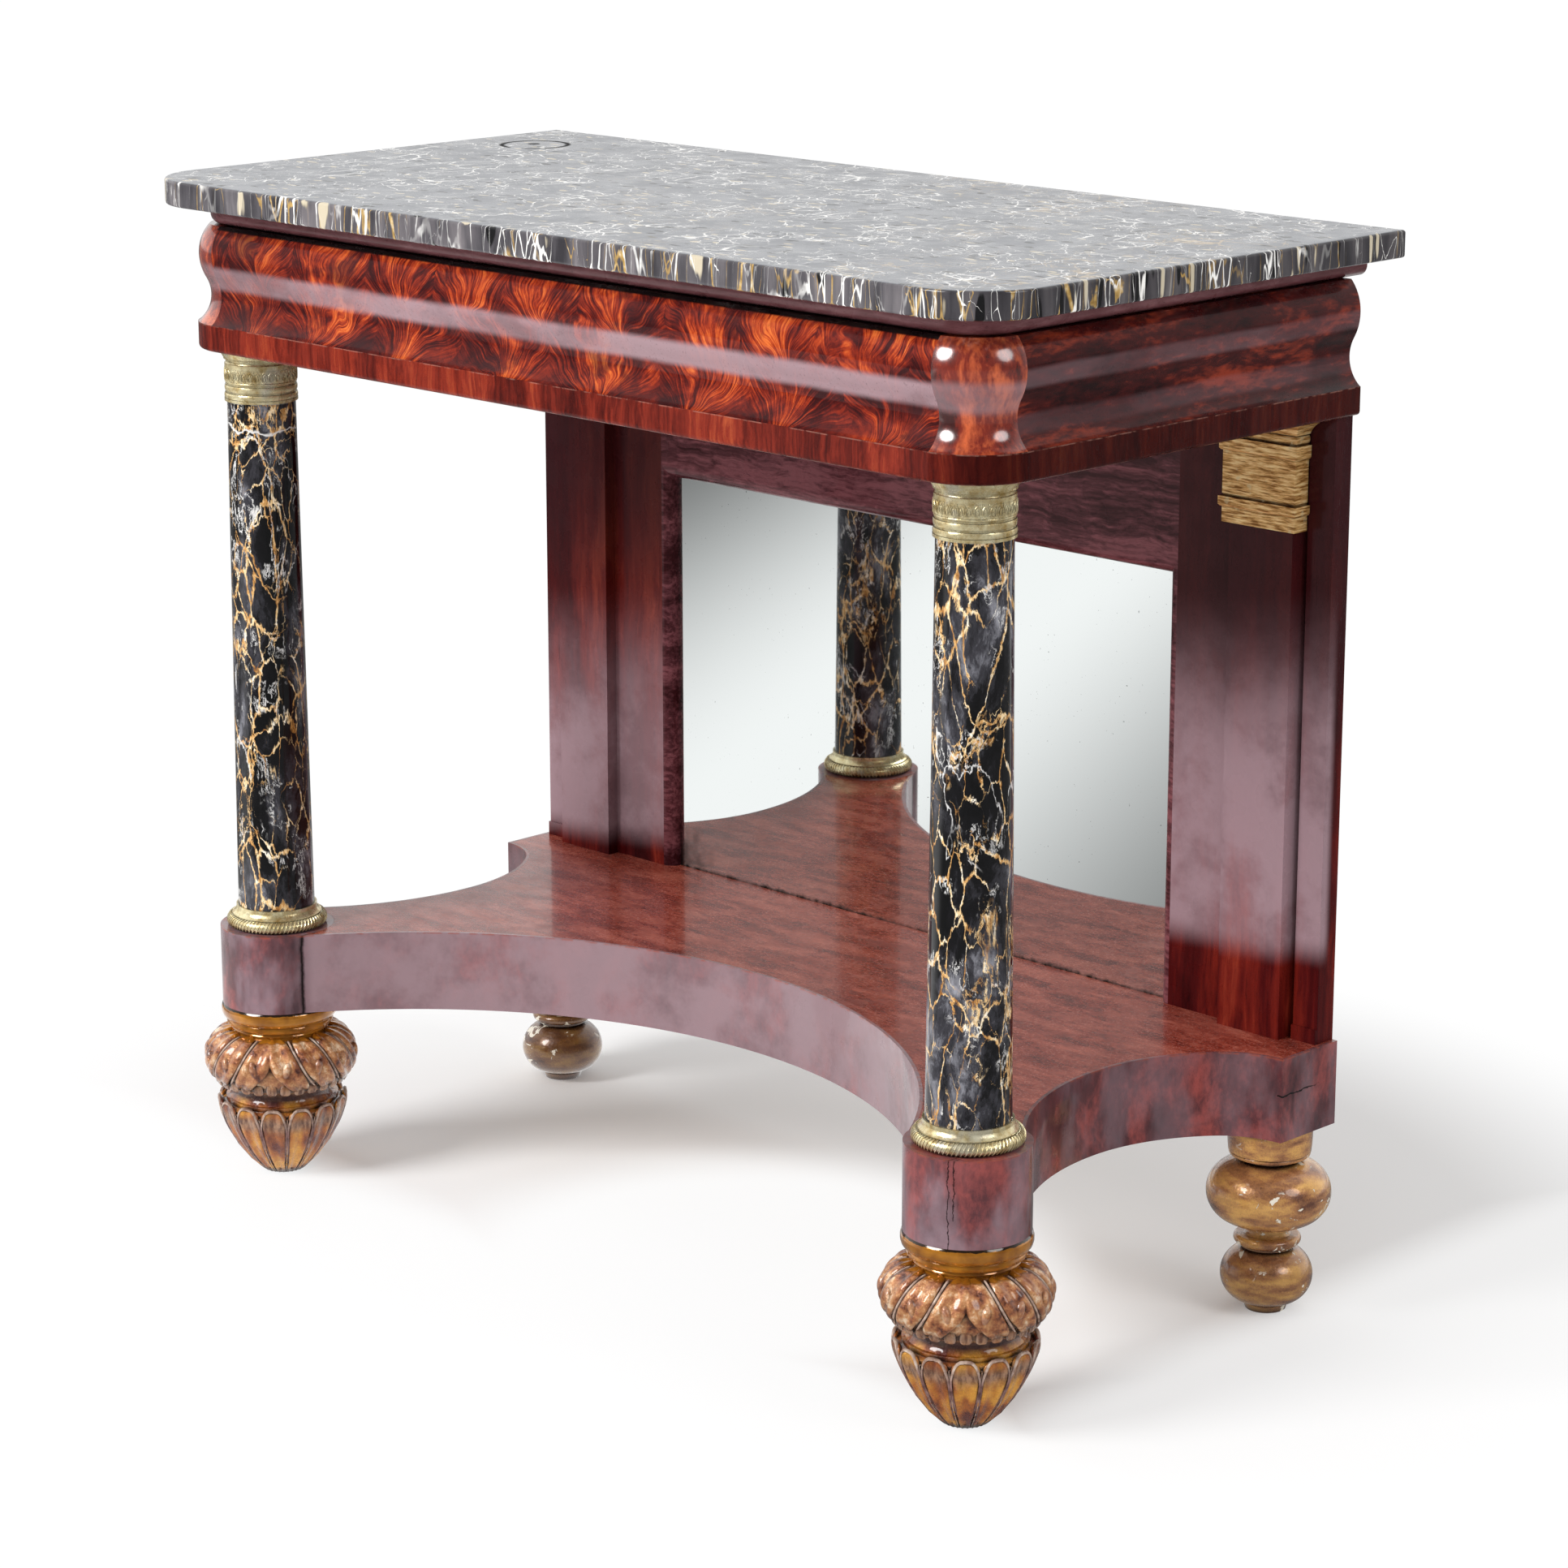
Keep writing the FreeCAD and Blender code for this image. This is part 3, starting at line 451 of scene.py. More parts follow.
def cracks_and_painted_reflection(f, tone):
    """Painted reflection over the polish, even in the middle and patchy at the ends; the left block's open
    joint; two splits in the right block and one at the back corner; and a rubbed upper edge."""
    middle = f.add("MapRange", f.add("Math", f.x, operation="ABSOLUTE"), 0.385, 0.375, **eased)
    cloudy = f.patches(26, 4, 0.38, 0.62, 0.2, 1.0,
        Vector=f.add("VectorMath", f.place, (1, 1, 0.4), operation="MULTIPLY"))
    ends = f.add("Math", cloudy, f.add("MapRange", f.y, -0.11, -0.13, 0.45, 0.9, **eased),
        operation="MULTIPLY")
    # Painted reflection: even across the middle, patchy at the ends.
    tone = painted_reflection(f, tone, f.add("Mix", middle, ends, 0.92),
        f.add("Mix", middle, "907A82", "988086", data_type="RGBA"))
    waver = f.add("Math", f.add("Math", f.add("TexNoise", Scale=90, Detail=4, Roughness=0.7), 0.5,
            operation="SUBTRACT"), 0.006, operation="MULTIPLY")
    front = f.add("Math", f.y, -0.15, operation="LESS_THAN")
    lines = f.add("Math", f.near(f.add("Math", f.x, f.add("Math", waver, 0.3, operation="MULTIPLY"),
                operation="ADD"), -0.3812, 0.0017), front, operation="MULTIPLY")
    for x, low in ((0.4545, 0.166), (0.4585, 0.19)):
        split = f.near(f.add("Math", f.x, waver, operation="ADD"), x, 0.0007)
        split = f.add("Math", split, f.add("Math", front, f.add("Math", f.z, low, operation="GREATER_THAN"),
                operation="MULTIPLY"), operation="MULTIPLY")
        lines = f.add("Math", lines, split, operation="MAXIMUM")
    corner = f.near(f.add("Math", f.z, waver, operation="ADD"), 0.2075, 0.0009)
    corner = f.add("Math", corner, f.add("Math", f.add("Math", f.x, 0.48, operation="GREATER_THAN"),
            f.near(f.y, 0.165, 0.05), operation="MULTIPLY"), operation="MULTIPLY")
    tone = f.add("Mix", f.add("Math", lines, f.add("MapRange", corner, 0, 0.3, **eased), operation="MAXIMUM"),
        tone, "060203", data_type="RGBA")
    rubbed = f.add("Math", f.near(f.z, 0.2395, 0.0016), f.patches(120, 4, 0.45, 0.6), operation="MULTIPLY")
    return f.add("Mix", f.add("Math", rubbed, 0.6, operation="MULTIPLY"), tone, "9A4A36", data_type="RGBA")


shelf_colours = ((0.34, "541A14"), (0.48, "863628"), (0.62, "AE5C4A"))
edge_colours = ((0.36, "2A0E13"), (0.49, "542325"), (0.62, "94423C"))
wear("shelf_top", veneer("dusty shelf veneer", shelf_colours, (1, 3, 1), 16, 0.14, 1.0, coat=0.45))
# The facings carry painted reflection over their polish, with their splits.
wear("shelf_facing_front shelf_facing_side_* shelf_block_*",
     veneer("shelf edge veneer", edge_colours, (1, 1, 0.6), 24, 0.25, 0.8, streak=0.25, marks=cracks_and_painted_reflection, coat=0.7))


# Columns: black and gold marble shafts on iron rods, between brass bases
# and caps. The brass has dulled to olive, with silver where its wash is left.

def bent_place(f, stretch, amount):
    """The stretched place, pushed about by noise so that veins wander."""
    flow = f.add("VectorMath", f.place, stretch, operation="MULTIPLY")
    push = f.add("TexNoise", Vector=flow, Scale=22.0, Detail=5.0, out="Color")
    push = f.add("VectorMath", push, (amount, amount, amount), operation="MULTIPLY")
    return f.add("VectorMath", flow, push, operation="ADD")


def net(f, place, scale, width, seed):
    """Veins along the walls of a net of cells. The width is a share of a cell, and swells and fades."""
    cells = f.add("TexVoronoi", Vector=f.add("VectorMath", place, (seed, seed, seed), operation="ADD"),
        Scale=scale, feature="DISTANCE_TO_EDGE", out="Distance")
    swell = f.patches(scale * 0.55, 4, 0.40, 0.66, 0.0, width, Vector=place)
    return f.add("MapRange", cells, f.add("Math", swell, 0.25, operation="MULTIPLY"), swell, 1, 0, **eased)


# Gold nets and knots, white flecks, a white line round the left shaft's head, and chips under the caps.
f = Finish("black and gold marble", Specular_IOR_Level=0.5, Coat_Weight=0.1, Coat_Roughness=0.04)
flow = bent_place(f, (1, 1, 0.42), 0.026)
crinkle = f.add("VectorMath", f.add("TexNoise", Vector=flow, Scale=150.0, Detail=5.0, Roughness=0.75,
        out="Color"), (0.008, 0.008, 0.008), operation="MULTIPLY")
flow = f.add("VectorMath", flow, crinkle, operation="ADD")
tone = f.add("ValToRGB", f.add("TexNoise", Vector=flow, Scale=24, Detail=7, Roughness=0.7),
    stops=((0.37, "030304"), (0.47, "0F0E11"), (0.56, "3A393F"), (0.67, "94949C")))
gold = f.add("Math", net(f, flow, 27.0, 0.036, 0.0), net(f, flow, 62.0, 0.06, 0.31), operation="MAXIMUM")
knots = f.add("Math", f.patches(26, 4, 0.60, 0.65, Vector=flow),
    f.patches(170, 5, 0.5, 0.55, Roughness=0.75, Vector=flow), operation="MULTIPLY")
tone = f.add("Mix", f.add("Math", gold, knots, operation="MAXIMUM"), tone,
    f.add("ValToRGB", f.add("TexNoise", Vector=flow, Scale=150, Detail=4, Roughness=0.75),
        stops=((0.34, "8A5828"), (0.45, "CC9654"), (0.55, "F2D29C"), (0.66, "FFF8EA"))), data_type="RGBA")
flecks = f.add("Math", f.near(f.add("TexNoise", Vector=flow, Scale=60, Detail=4, Roughness=0.6, Distortion=1.0),
        0.5, 0.016), f.patches(30, 3, 0.54, 0.6), operation="MULTIPLY")
white = f.add("Math", f.add("Math", f.near(f.add("TexNoise", Vector=flow, Scale=11, Detail=4, Roughness=0.55,
                Distortion=1.2), 0.5, 0.008), f.patches(9, 2, 0.48, 0.54), operation="MULTIPLY"), flecks,
    operation="MAXIMUM")
head = f.near(f.add("Math", f.z, f.add("Math", f.add("TexNoise", Scale=40, Detail=3), 0.03,
            operation="MULTIPLY"), operation="ADD"), 0.7215, 0.0014)
head = f.add("Math", head, f.add("Math", f.x, 0, operation="LESS_THAN"), operation="MULTIPLY")
tone = f.add("Mix", f.add("Math", f.add("Math", white, head, operation="MAXIMUM"), 0.9, operation="MULTIPLY"),
    tone, "E8E6E4", data_type="RGBA")
chips = f.add("Math", f.add("MapRange", f.z, 0.7285, 0.7298, **eased), f.patches(140, 4, 0.45, 0.55),
    operation="MULTIPLY")
tone = f.add("Mix", chips, tone, "B8B2A8", data_type="RGBA")
wear("column_shaft_*", f.done(tone, f.patches(60, 4, 0.3, 0.7, 0.08, 0.18)))


def brass(name, dark, light, gloss):
    """Stamped and turned brass, bright in rubbed patches, and dark olive in its recesses: partly its patina,
    partly painted shade.
    """
    f = Finish(name, Metallic=0.7)
    cloud = f.add("TexNoise", Scale=85, Detail=6, Roughness=0.7)
    tone = f.add("ValToRGB", cloud, stops=((0.32, dark), (0.62, light)))
    tone = f.add("Mix", f.patches(38, 4, 0.56, 0.66, 0, 0.6), tone, "D8D4C4", data_type="RGBA")
    # Dark olive in the recesses: patina, deepened with painted shade.
    tone = painted_hollow_shade(f, tone, 0.004, "1C1608")
    return f.done(tone, f.patches(200, 4, 0.3, 0.7, gloss, gloss + 0.22),
        f.add("TexNoise", Scale=700, Detail=3), 0.00012)


dull_brass = brass("dulled brass", "BA9A58", "FFF4C8", 0.2)
wear("column_cap_* column_base_*", dull_brass)

# The slanting cords round the foot of each shaft, and the hatched line round each cap.
rope = blade("rope", 6, 0, [(44.4, 241.6, 0.8, 0.8, -3.4), (45.4, 244, 0.9, 0.8, -1.6),
        (45.3, 247, 0.9, 0.8, 0.4), (43.7, 249.6, 0.8, 0.8, 2), (41.7, 251, 0.7, 0.6, 3)])
round_again(76)
stand(close(rope, dull_brass, 50), "base_rope", None, column_places)

hatch = blade("hatch", 6, 0, [(33.3, 770.2, 0.4, 0.4, -2), (34.2, 773.4, 0.45, 0.4, 0),
        (36.1, 777.4, 0.4, 0.35, 2)])
round_again(96)
stand(close(hatch, dull_brass, 50), "cap_hatching", None, column_places)


def loop_on_cap(name, wide, tall, level, thick, turn):
    """A pointed oval of stamped line, upright on the cap's band."""
    centre = (0.0324, 0, level * mm)
    made = begin("torus", name, centre, rotation=(0, pi / 2, 0), major_segments=14, minor_segments=5,
        major_radius=wide * mm, minor_radius=thick * mm)
    bpy.ops.transform.resize(value=(1, 1, tall / wide), center_override=centre)
    pick(made, lambda i, at: at.z > (level + tall * 0.8) * mm)
    bpy.ops.transform.resize(value=(1, 0.5, 1), center_override=centre)
    bpy.ops.transform.translate(value=(0, 0, 0.9 * mm))
    bpy.ops.mesh.select_all(action="SELECT")
    bpy.ops.transform.rotate(value=-radians(turn), orient_axis="Z", center_override=(0, 0, 0))
    return made


for part, *sizes in (("arch", 2.5, 4.3, 753.3, 0.42, 0), ("leaf_tip", 1.2, 2.6, 752.2, 0.4, 0),
        ("arrow", 0.8, 3.4, 754.6, 0.3, 5.625)):
    loop = loop_on_cap("cap " + part, *sizes)
    round_again(32)
    stand(close(loop, dull_brass, 50), "cap_" + part, None, column_places)


# Bottom rails: the flat band under the apron, cross-banded, so that its
# figure runs up and down. Rubbed pale along both of its edges.

def rubbed_edges(f, tone):
    """Pale worn lines along the band's top and bottom arrises."""
    waver = f.add("Math", f.add("TexNoise", Scale=30, Detail=3), 0.0012, operation="MULTIPLY")
    line = f.add("Math", f.near(f.add("Math", f.z, waver, operation="ADD"), 0.8022, 0.0009),
        f.add("Math", f.near(f.z, 0.7786, 0.0009), 0.9, operation="MULTIPLY"), operation="MAXIMUM")
    line = f.add("Math", line, f.patches(70, 5, 0.42, 0.58, Roughness=0.7), operation="MULTIPLY")
    return f.add("Mix", f.add("Math", line, 0.45, operation="MULTIPLY"), tone, "A87A6C", data_type="RGBA")


band_colours = ((0.36, "3A0C09"), (0.46, "5E1910"), (0.56, "80291A"), (0.68, "A44A2A"))
# Painted shade darkens the band's right end.
wear("bottom_rail_front bottom_rail_side_* bottom_rail_back",
    veneer("cross-banded veneer", band_colours, (1, 1, 0.06), 30, 0.22, shade=("x", 0.40, 0.48, "1C0304"),
        streak=0.4, marks=rubbed_edges))


# Back frame: veneered uprights, with flat pilasters before them that carry
# gold painted capitals, and posts beside them.

def low_painted_reflection(f, tone):
    """Painted reflection on the lower half, higher at the right and clear again just above the shelf."""
    level = f.add("Math", f.add("Math", f.z, f.add("Math", f.add("TexNoise", Scale=6, Detail=3), 0.05,
                operation="MULTIPLY"), operation="ADD"), f.add("Math", f.x, 0.15, operation="MULTIPLY"),
        operation="SUBTRACT")
    foot = f.add("Math", f.z, f.add("Math", f.x, 0.07, operation="MULTIPLY"), operation="SUBTRACT")
    amount = f.add("Math", f.add("MapRange", level, 0.595, 0.43, **eased),
        f.add("MapRange", foot, 0.272, 0.302, 0.0, 0.95, **eased), operation="MULTIPLY")
    return painted_reflection(f, tone, f.add("Math", amount, f.add("MapRange", f.y, 0.222, 0.212, **eased),
            operation="MULTIPLY"), "9A8087")


upright_colours = ((0.34, "260306"), (0.47, "480C0D"), (0.58, "6C1C14"), (0.7, "983C28"))
# Painted shade darkens the upper part under the top, and painted reflection lies over the lower half.
wear("stile_* pilaster_* post_* post_plinths", veneer("upright veneer", upright_colours, (1, 1, 0.1), 20, 0.2,
        shade=("z", 0.40, 0.62, "2C1317"), streak=0.3, marks=low_painted_reflection))
wear("top_rail glass_moulding_side_* glass_moulding_top",
    veneer("dark veneer", ((0.40, "320F14"), (0.5, "562C32"), (0.6, "804A50")), (0.12, 1, 1), 34, 0.2,
        coat=0.2))

# Brushed across, darkened with painted shade in its recesses, and worn pale in patches.
f = Finish("brushed gold paint", Metallic=0.5, Specular_IOR_Level=0.5)
brushed = f.add("VectorMath", f.place, (0.3, 0.3, 3), operation="MULTIPLY")
tone = f.add("ValToRGB", f.add("TexNoise", Vector=brushed, Scale=190, Detail=5, Roughness=0.65),
    stops=((0.38, "8E5C26"), (0.5, "E0AC68"), (0.62, "FFDEA2")))
tone = painted_hollow_shade(f, tone, 0.004, "201408")
tone = f.add("Mix", f.patches(90, 4, 0.62, 0.68, 0, 0.5), tone, "E2D0A4", data_type="RGBA")
wear("capital_*", f.done(tone, f.patches(80, 4, 0.3, 0.7, 0.35, 0.6),
        f.add("TexNoise", Vector=brushed, Scale=90, Detail=4), 0.0003))


# Looking glass: a thin plate, silvered at the back. Damp has eaten the
# silver at its lower edge and corner, and there are specks all over.

f = Finish("silvered looking glass", Metallic=1.0)
edge = f.add("MapRange", f.add("Math", f.z, f.add("Math", f.add("TexNoise", Scale=90, Detail=5, Roughness=0.7),
            0.012, operation="MULTIPLY"), operation="ADD"), 0.245, 0.2505, 1, 0, **eased)
corner = f.add("MapRange", f.add("Math", f.add("VectorMath", f.place, (-0.305, 0.2186, 0.24),
            operation="DISTANCE"), f.add("Math", f.add("TexNoise", Scale=60, Detail=5, Roughness=0.7), 0.09,
            operation="MULTIPLY"), operation="ADD"), 0.055, 0.095, 1, 0, **eased)
specks = f.add("Math", f.patches(330, 3, 0.69, 0.73, Roughness=0.6), f.patches(14, 3, 0.42, 0.6),
    operation="MULTIPLY")
lost = f.add("Math", edge, f.add("Math", f.add("Math", corner, 0.6, operation="MULTIPLY"),
        f.add("Math", specks, 0.8, operation="MULTIPLY"), operation="MAXIMUM"), operation="MAXIMUM")
tone = f.add("Mix", lost, "F0F4F3", "22302A", data_type="RGBA")
wear("looking_glass", f.done(tone, f.add("Math", 0.015, f.add("Math", lost, 0.3, operation="MULTIPLY"),
            operation="ADD")))


# Apron: an ogee, faced with crotch mahogany whose plumes open upwards, the
# dark streaks between them. Turned quarter blocks carry it round the corners.

def painted_sheen_bands(f, tone, bands):
    """Painted reflection of the bright floor on the polish, in bands of (level, half width, amount)."""
    level = f.add("Math", f.z, f.add("Math", f.add("Math", f.add("TexNoise", Scale=12, Detail=3), 0.5,
                operation="SUBTRACT"), 0.004, operation="MULTIPLY"), operation="ADD")
    for middle, reach, amount in bands:
        away = f.add("Math", f.add("Math", level, middle, operation="SUBTRACT"), operation="ABSOLUTE")
        cloudy = f.patches(7, 5, 0.35, 0.55, 0.6 * amount, amount, Roughness=0.6,
            Vector=f.add("VectorMath", f.place, (1, 1, 2), operation="MULTIPLY"))
        tone = f.add("Mix", f.add("Math", f.add("MapRange", away, reach, reach * 0.5, **eased), cloudy,
                operation="MULTIPLY"), tone, "A2888E", data_type="RGBA")
    return tone


def flame(name, bands):
    """Plume figure: fine streaks that fan upwards from two rows of roots, over soft clouds, with painted
    reflection in bands, painted shade at the left end and a painted black shadow at the top.
    """
    f = Finish(name, Coat_Weight=0.25, **red_polish)
    shifted = f.add("Math", f.x, f.add("Math", f.add("Math", f.add("TexNoise", Scale=9, Detail=3), 0.5,
                operation="SUBTRACT"), 0.12, operation="MULTIPLY"), operation="ADD")

    def fan(pitch, start, root):
        gap = f.add("Math", f.add("Math", shifted, start, operation="ADD"), pitch / 2, -pitch / 2,
            operation="WRAP")
        angle = f.add("Math", gap, f.add("Math", f.z, root, operation="SUBTRACT"), operation="ARCTAN2")
        feather = f.add("CombineXYZ", f.add("Math", angle, 0.14, operation="MULTIPLY"),
            f.add("Math", f.z, 0.2, operation="MULTIPLY"), f.add("Math", f.x, 0.2, operation="MULTIPLY"))
        streaks = f.add("Math", f.add("TexNoise", Vector=feather, Scale=190, Detail=3, Roughness=0.6,
                Distortion=0.1), f.add("Math", f.add("TexNoise", Vector=feather, Scale=60, Detail=3,
                    Distortion=0.1), 0.7, operation="MULTIPLY"), operation="ADD")
        turn = f.add("Math", angle, operation="ABSOLUTE")
        streaks = f.add("Math", f.add("Math", streaks, 0.85, operation="SUBTRACT"),
            f.add("MapRange", turn, 0.8, 1.35, 0.6, 0.1, **eased), operation="MULTIPLY")
        return f.add("Math", streaks, f.add("MapRange", turn, 0.1, 1.0, 0.05, -0.05, **eased), operation="ADD")

    upper = f.add("MapRange", f.add("Math", f.add("TexNoise", Scale=13, Detail=3),
            f.add("Math", f.add("Math", f.z, 0.85, operation="SUBTRACT"), 5.0, operation="MULTIPLY"),
            operation="ADD"), 0.47, 0.55, **eased)
    figure = f.add("Mix", upper, fan(0.112, 0.05, 0.788), fan(0.09, 0.0, 0.836))
    clouds = f.add("Math", f.add("TexNoise", Scale=22, Detail=6, Roughness=0.65, Distortion=0.4), 0.6,
        operation="MULTIPLY")
    field = f.add("Math", f.add("Math", figure, clouds, operation="ADD"), 0.2, operation="ADD")
    tone = f.add("ValToRGB", field, stops=((0.37, "30080A"), (0.45, "56140E"), (0.52, "7E2412"),
            (0.59, "AA3E1A"), (0.70, "D66C30")))
    tone = f.add("Mix", f.patches(14, 5, 0.55, 0.63, 0, 0.65, Roughness=0.6), tone, "2E1014", data_type="RGBA")
    # Painted reflection in bands.
    tone = painted_sheen_bands(f, tone, bands)
    # Painted shade at the left end.
    tone = f.add("Mix", f.add("MapRange", f.x, -0.25, -0.45, 0, 0.3, **eased), tone, "2A080A", data_type="RGBA")
    # Painted shade: a black line at the top, in the gap under the bead.
    tone = f.add("Mix", f.add("MapRange", f.z, 0.885, 0.8865, **eased), tone, "060102", data_type="RGBA")
    pores = f.patches(700, 2, 0.62, 0.72, Vector=f.add("VectorMath", f.place, (1, 1, 0.3),
            operation="MULTIPLY"))
    tone = f.add("Mix", f.add("Math", pores, 0.3, operation="MULTIPLY"), tone, "160606", data_type="RGBA")
    return f.done(tone, f.patches(45, 4, 0.3, 0.75, 0.22, 0.42), f.add("TexNoise", Scale=50, Detail=3), 0.0003)


wear("apron_front", flame("crotch mahogany", [(0.8435, 0.0132, 0.9)]))
# The ends carry painted reflection in two bands.
wear("apron_side_*", veneer("apron end veneer", ((0.38, "1E0407"), (0.5, "420F0E"), (0.6, "86301C")),
        (1, 0.3, 1), 22, 0.2, streak=0.35, coat=0.25, marks=lambda f,
        tone: painted_sheen_bands(f, tone, [(0.857, 0.010, 0.24), (0.82, 0.010, 0.14)])))
# The corners carry painted reflection in a band.
corner = veneer("corner veneer", ((0.38, "3A0E0C"), (0.48, "7E2616"), (0.58, "CC6034")), (1, 1, 0.4), 28, 0.16,
                streak=0.25, coat=1.0, marks=lambda f, tone: painted_sheen_bands(f, tone, [(0.8435, 0.016, 0.5)]))
# A thick hard coat, for round bright glints.
for socket, value in (("Coat Roughness", 0.16), ("Coat IOR", 2.0)):
    corner.node_tree.nodes["Principled BSDF"].inputs[socket].default_value = value
wear("apron_corner_*", corner)
wear("top_bead_front top_bead_side_* top_bead_corner_*",
    veneer("bead veneer", ((0.3, "4A2628"), (0.5, "6C4044"), (0.7, "8C5E62")), (0.2, 0.2, 1), 24, 0.24,
        coat=0.6))


# Marble top: one polished slab of black marble, loose on the table. White
# threads, gold nets at its right, small clasts, dust and one ring from a pot.

# Dust lies on what faces up; the edges are clean, and carry more of the gold.
f = Finish("veined black marble slab", Specular_IOR_Level=0.5)
up = f.facing_up()
flow = bent_place(f, (1, 1, 0.16), 0.028)
tone = f.add("ValToRGB", f.add("TexNoise", Vector=flow, Scale=42, Detail=5, Roughness=0.55),
    stops=((0.34, "343236"), (0.48, "524F53"), (0.62, "706B6E"), (0.75, "989292")))
tone = f.add("Mix", f.add("Math", up, 0.8, operation="MULTIPLY"), tone, "3C3D41", data_type="RGBA")
# Painted shade darkens the right end, most of all on its edges.
tone = f.add("Mix", f.add("MapRange", f.x, 0.44, 0.5, 0.0, 0.5, **eased), tone,
    f.add("Mix", up, "1E1C20", "3C3D41", data_type="RGBA"), data_type="RGBA")
rich = f.add("MapRange", f.add("Math", f.add("TexNoise", Scale=5, Detail=3),
        f.add("Math", f.x, 0.3, operation="MULTIPLY"), operation="ADD"), 0.5, 0.68, **eased)
gold = f.add("Math", net(f, flow, 26.0, 0.04, 0.0),
    f.add("Math", net(f, flow, 60.0, 0.05, 0.4), 0.8, operation="MULTIPLY"), operation="MAXIMUM")
patch = f.add("MapRange", f.add("Math", f.add("VectorMath", f.place, (0.49, -0.115, 0.92),
            operation="DISTANCE"), f.add("Math", f.add("TexNoise", Scale=60, Detail=4), 0.06,
            operation="MULTIPLY"), operation="ADD"), 0.045, 0.052, 0.9, 0, **eased)
rich = f.add("Math", rich, f.add("Math", f.add("MapRange", up, 0, 1, 0.9, 0, **eased),
        f.patches(9, 3, 0.42, 0.52), operation="MULTIPLY"), operation="MAXIMUM")
gold = f.add("Math", f.add("Math", gold, rich, operation="MULTIPLY"),
    f.add("Math", patch, f.patches(70, 4, 0.44, 0.5, Vector=flow), operation="MULTIPLY"), operation="MAXIMUM")
tone = f.add("Mix", gold, tone, f.add("ValToRGB", f.add("TexNoise", Scale=130, Detail=4),
        stops=((0.3, "8A6A30"), (0.55, "C8A460"), (0.75, "E8DCC0"))), data_type="RGBA")
film = f.add("Math", up, f.patches(8, 5, 0.3, 0.7, 0.37, 0.44, Roughness=0.6), operation="MULTIPLY")
tone = f.add("Mix", film, tone, "A6AAB1", data_type="RGBA")
cells = f.add("TexVoronoi", Vector=f.add("VectorMath", flow, (0.5, 1.3, 1), operation="MULTIPLY"), Scale=95.0,
    feature="F1", out=None)
kind = f.add("SeparateColor", cells["Color"], out=None)
lump = f.add("MapRange", cells["Distance"], 0.26, 0.34, 1.0, 0, **eased)
tone = f.add("Mix", f.add("Math", f.add("MapRange", kind[0], 0.7, 0.72, **eased), lump, operation="MULTIPLY"),
    tone, "111113", data_type="RGBA")
tone = f.add("Mix", f.add("Math", f.add("MapRange", kind[1], 0.8, 0.82, **eased), lump, operation="MULTIPLY"),
    tone, "C8BCA4", data_type="RGBA")
threads = f.add("Math", net(f, flow, 30.0, 0.038, 0.7), net(f, flow, 70.0, 0.052, 0.2), operation="MAXIMUM")
threads = f.add("Math", threads, f.near(f.add("TexNoise", Vector=flow, Scale=16, Detail=3, Distortion=1.0), 0.5,
        0.004), operation="MAXIMUM")
threads = f.add("Math", threads, f.patches(15, 4, 0.42, 0.54, 0.15, 1.0, Roughness=0.6), operation="MULTIPLY")
tone = f.add("Mix", threads, tone, "FAF8F4", data_type="RGBA")
far = f.add("VectorMath", f.place, (-0.43, 0.155, 0.93), operation="DISTANCE")
ring = f.add("Math", f.near(far, 0.031, 0.005), f.patches(30, 3, 0.4, 0.5), operation="MULTIPLY")
smudge = f.add("Math", f.near(far, 0.0, 0.022), f.patches(60, 4, 0.45, 0.6), operation="MULTIPLY")
stain = f.add("Math", f.add("Math", ring, smudge, operation="MAXIMUM"), up, operation="MULTIPLY")
tone = f.add("Mix", stain, tone, "060607", data_type="RGBA")
rough = f.add("Math", f.patches(35, 4, 0.3, 0.7, 0.1, 0.2), f.add("Math", film, 0.3, operation="MULTIPLY"),
    operation="ADD")
wear("marble_top", f.done(tone, f.add("Math", rough, stain, operation="MAXIMUM"),
        f.add("TexNoise", Scale=25, Detail=3), 0.0002))


# Carcase: what nobody sees from the front. Pine boards, blocks and battens,
# oxidised brown, and the iron rods, nuts and screws that hold them.

f = Finish("oxidised pine", Specular_IOR_Level=0.3)
grain = f.add("VectorMath", f.place, (0.08, 1, 1), operation="MULTIPLY")
rings = f.add("TexWave", Vector=grain, Scale=36.0, Distortion=5.0, Detail=3.0, Detail_Scale=1.2,
    bands_direction="Z", out="Fac")
tone = f.add("ValToRGB", f.add("Math", f.add("Math", rings, 0.5, operation="MULTIPLY"),
        f.add("Math", f.add("TexNoise", Vector=grain, Scale=60, Detail=5), 0.5, operation="MULTIPLY"),
        operation="ADD"), stops=((0.2, "8A6238"), (0.55, "A87E4C"), (0.85, "6E4824")))
tone = f.add("Mix", f.patches(6, 4, 0.4, 0.7, 0, 0.45), tone, "4A3220", data_type="RGBA")
wear("apron_back_rail backboard shelf_core slab_battens glue_blocks",
    f.done(tone, f.patches(80, 3, 0.3, 0.7, 0.6, 0.85), f.add("TexNoise", Vector=grain, Scale=300, Detail=4),
        0.0004))

# Dark iron with patches of rust.
f = Finish("rusted iron", Metallic=0.8)
rust = f.patches(300, 5, 0.4, 0.62, Roughness=0.7)
tone = f.add("Mix", rust, f.add("ValToRGB", f.add("TexNoise", Scale=120, Detail=4),
        stops=((0.3, "26231F"), (0.7, "4A453E"))), "6A3A1E", data_type="RGBA")
wear("column_rods rod_nuts backboard_screws cap_plugs base_plugs",
    f.done(tone, f.add("MapRange", rust, 0, 1, 0.4, 0.85, **eased), f.add("TexNoise", Scale=900, Detail=4),
        0.0002))


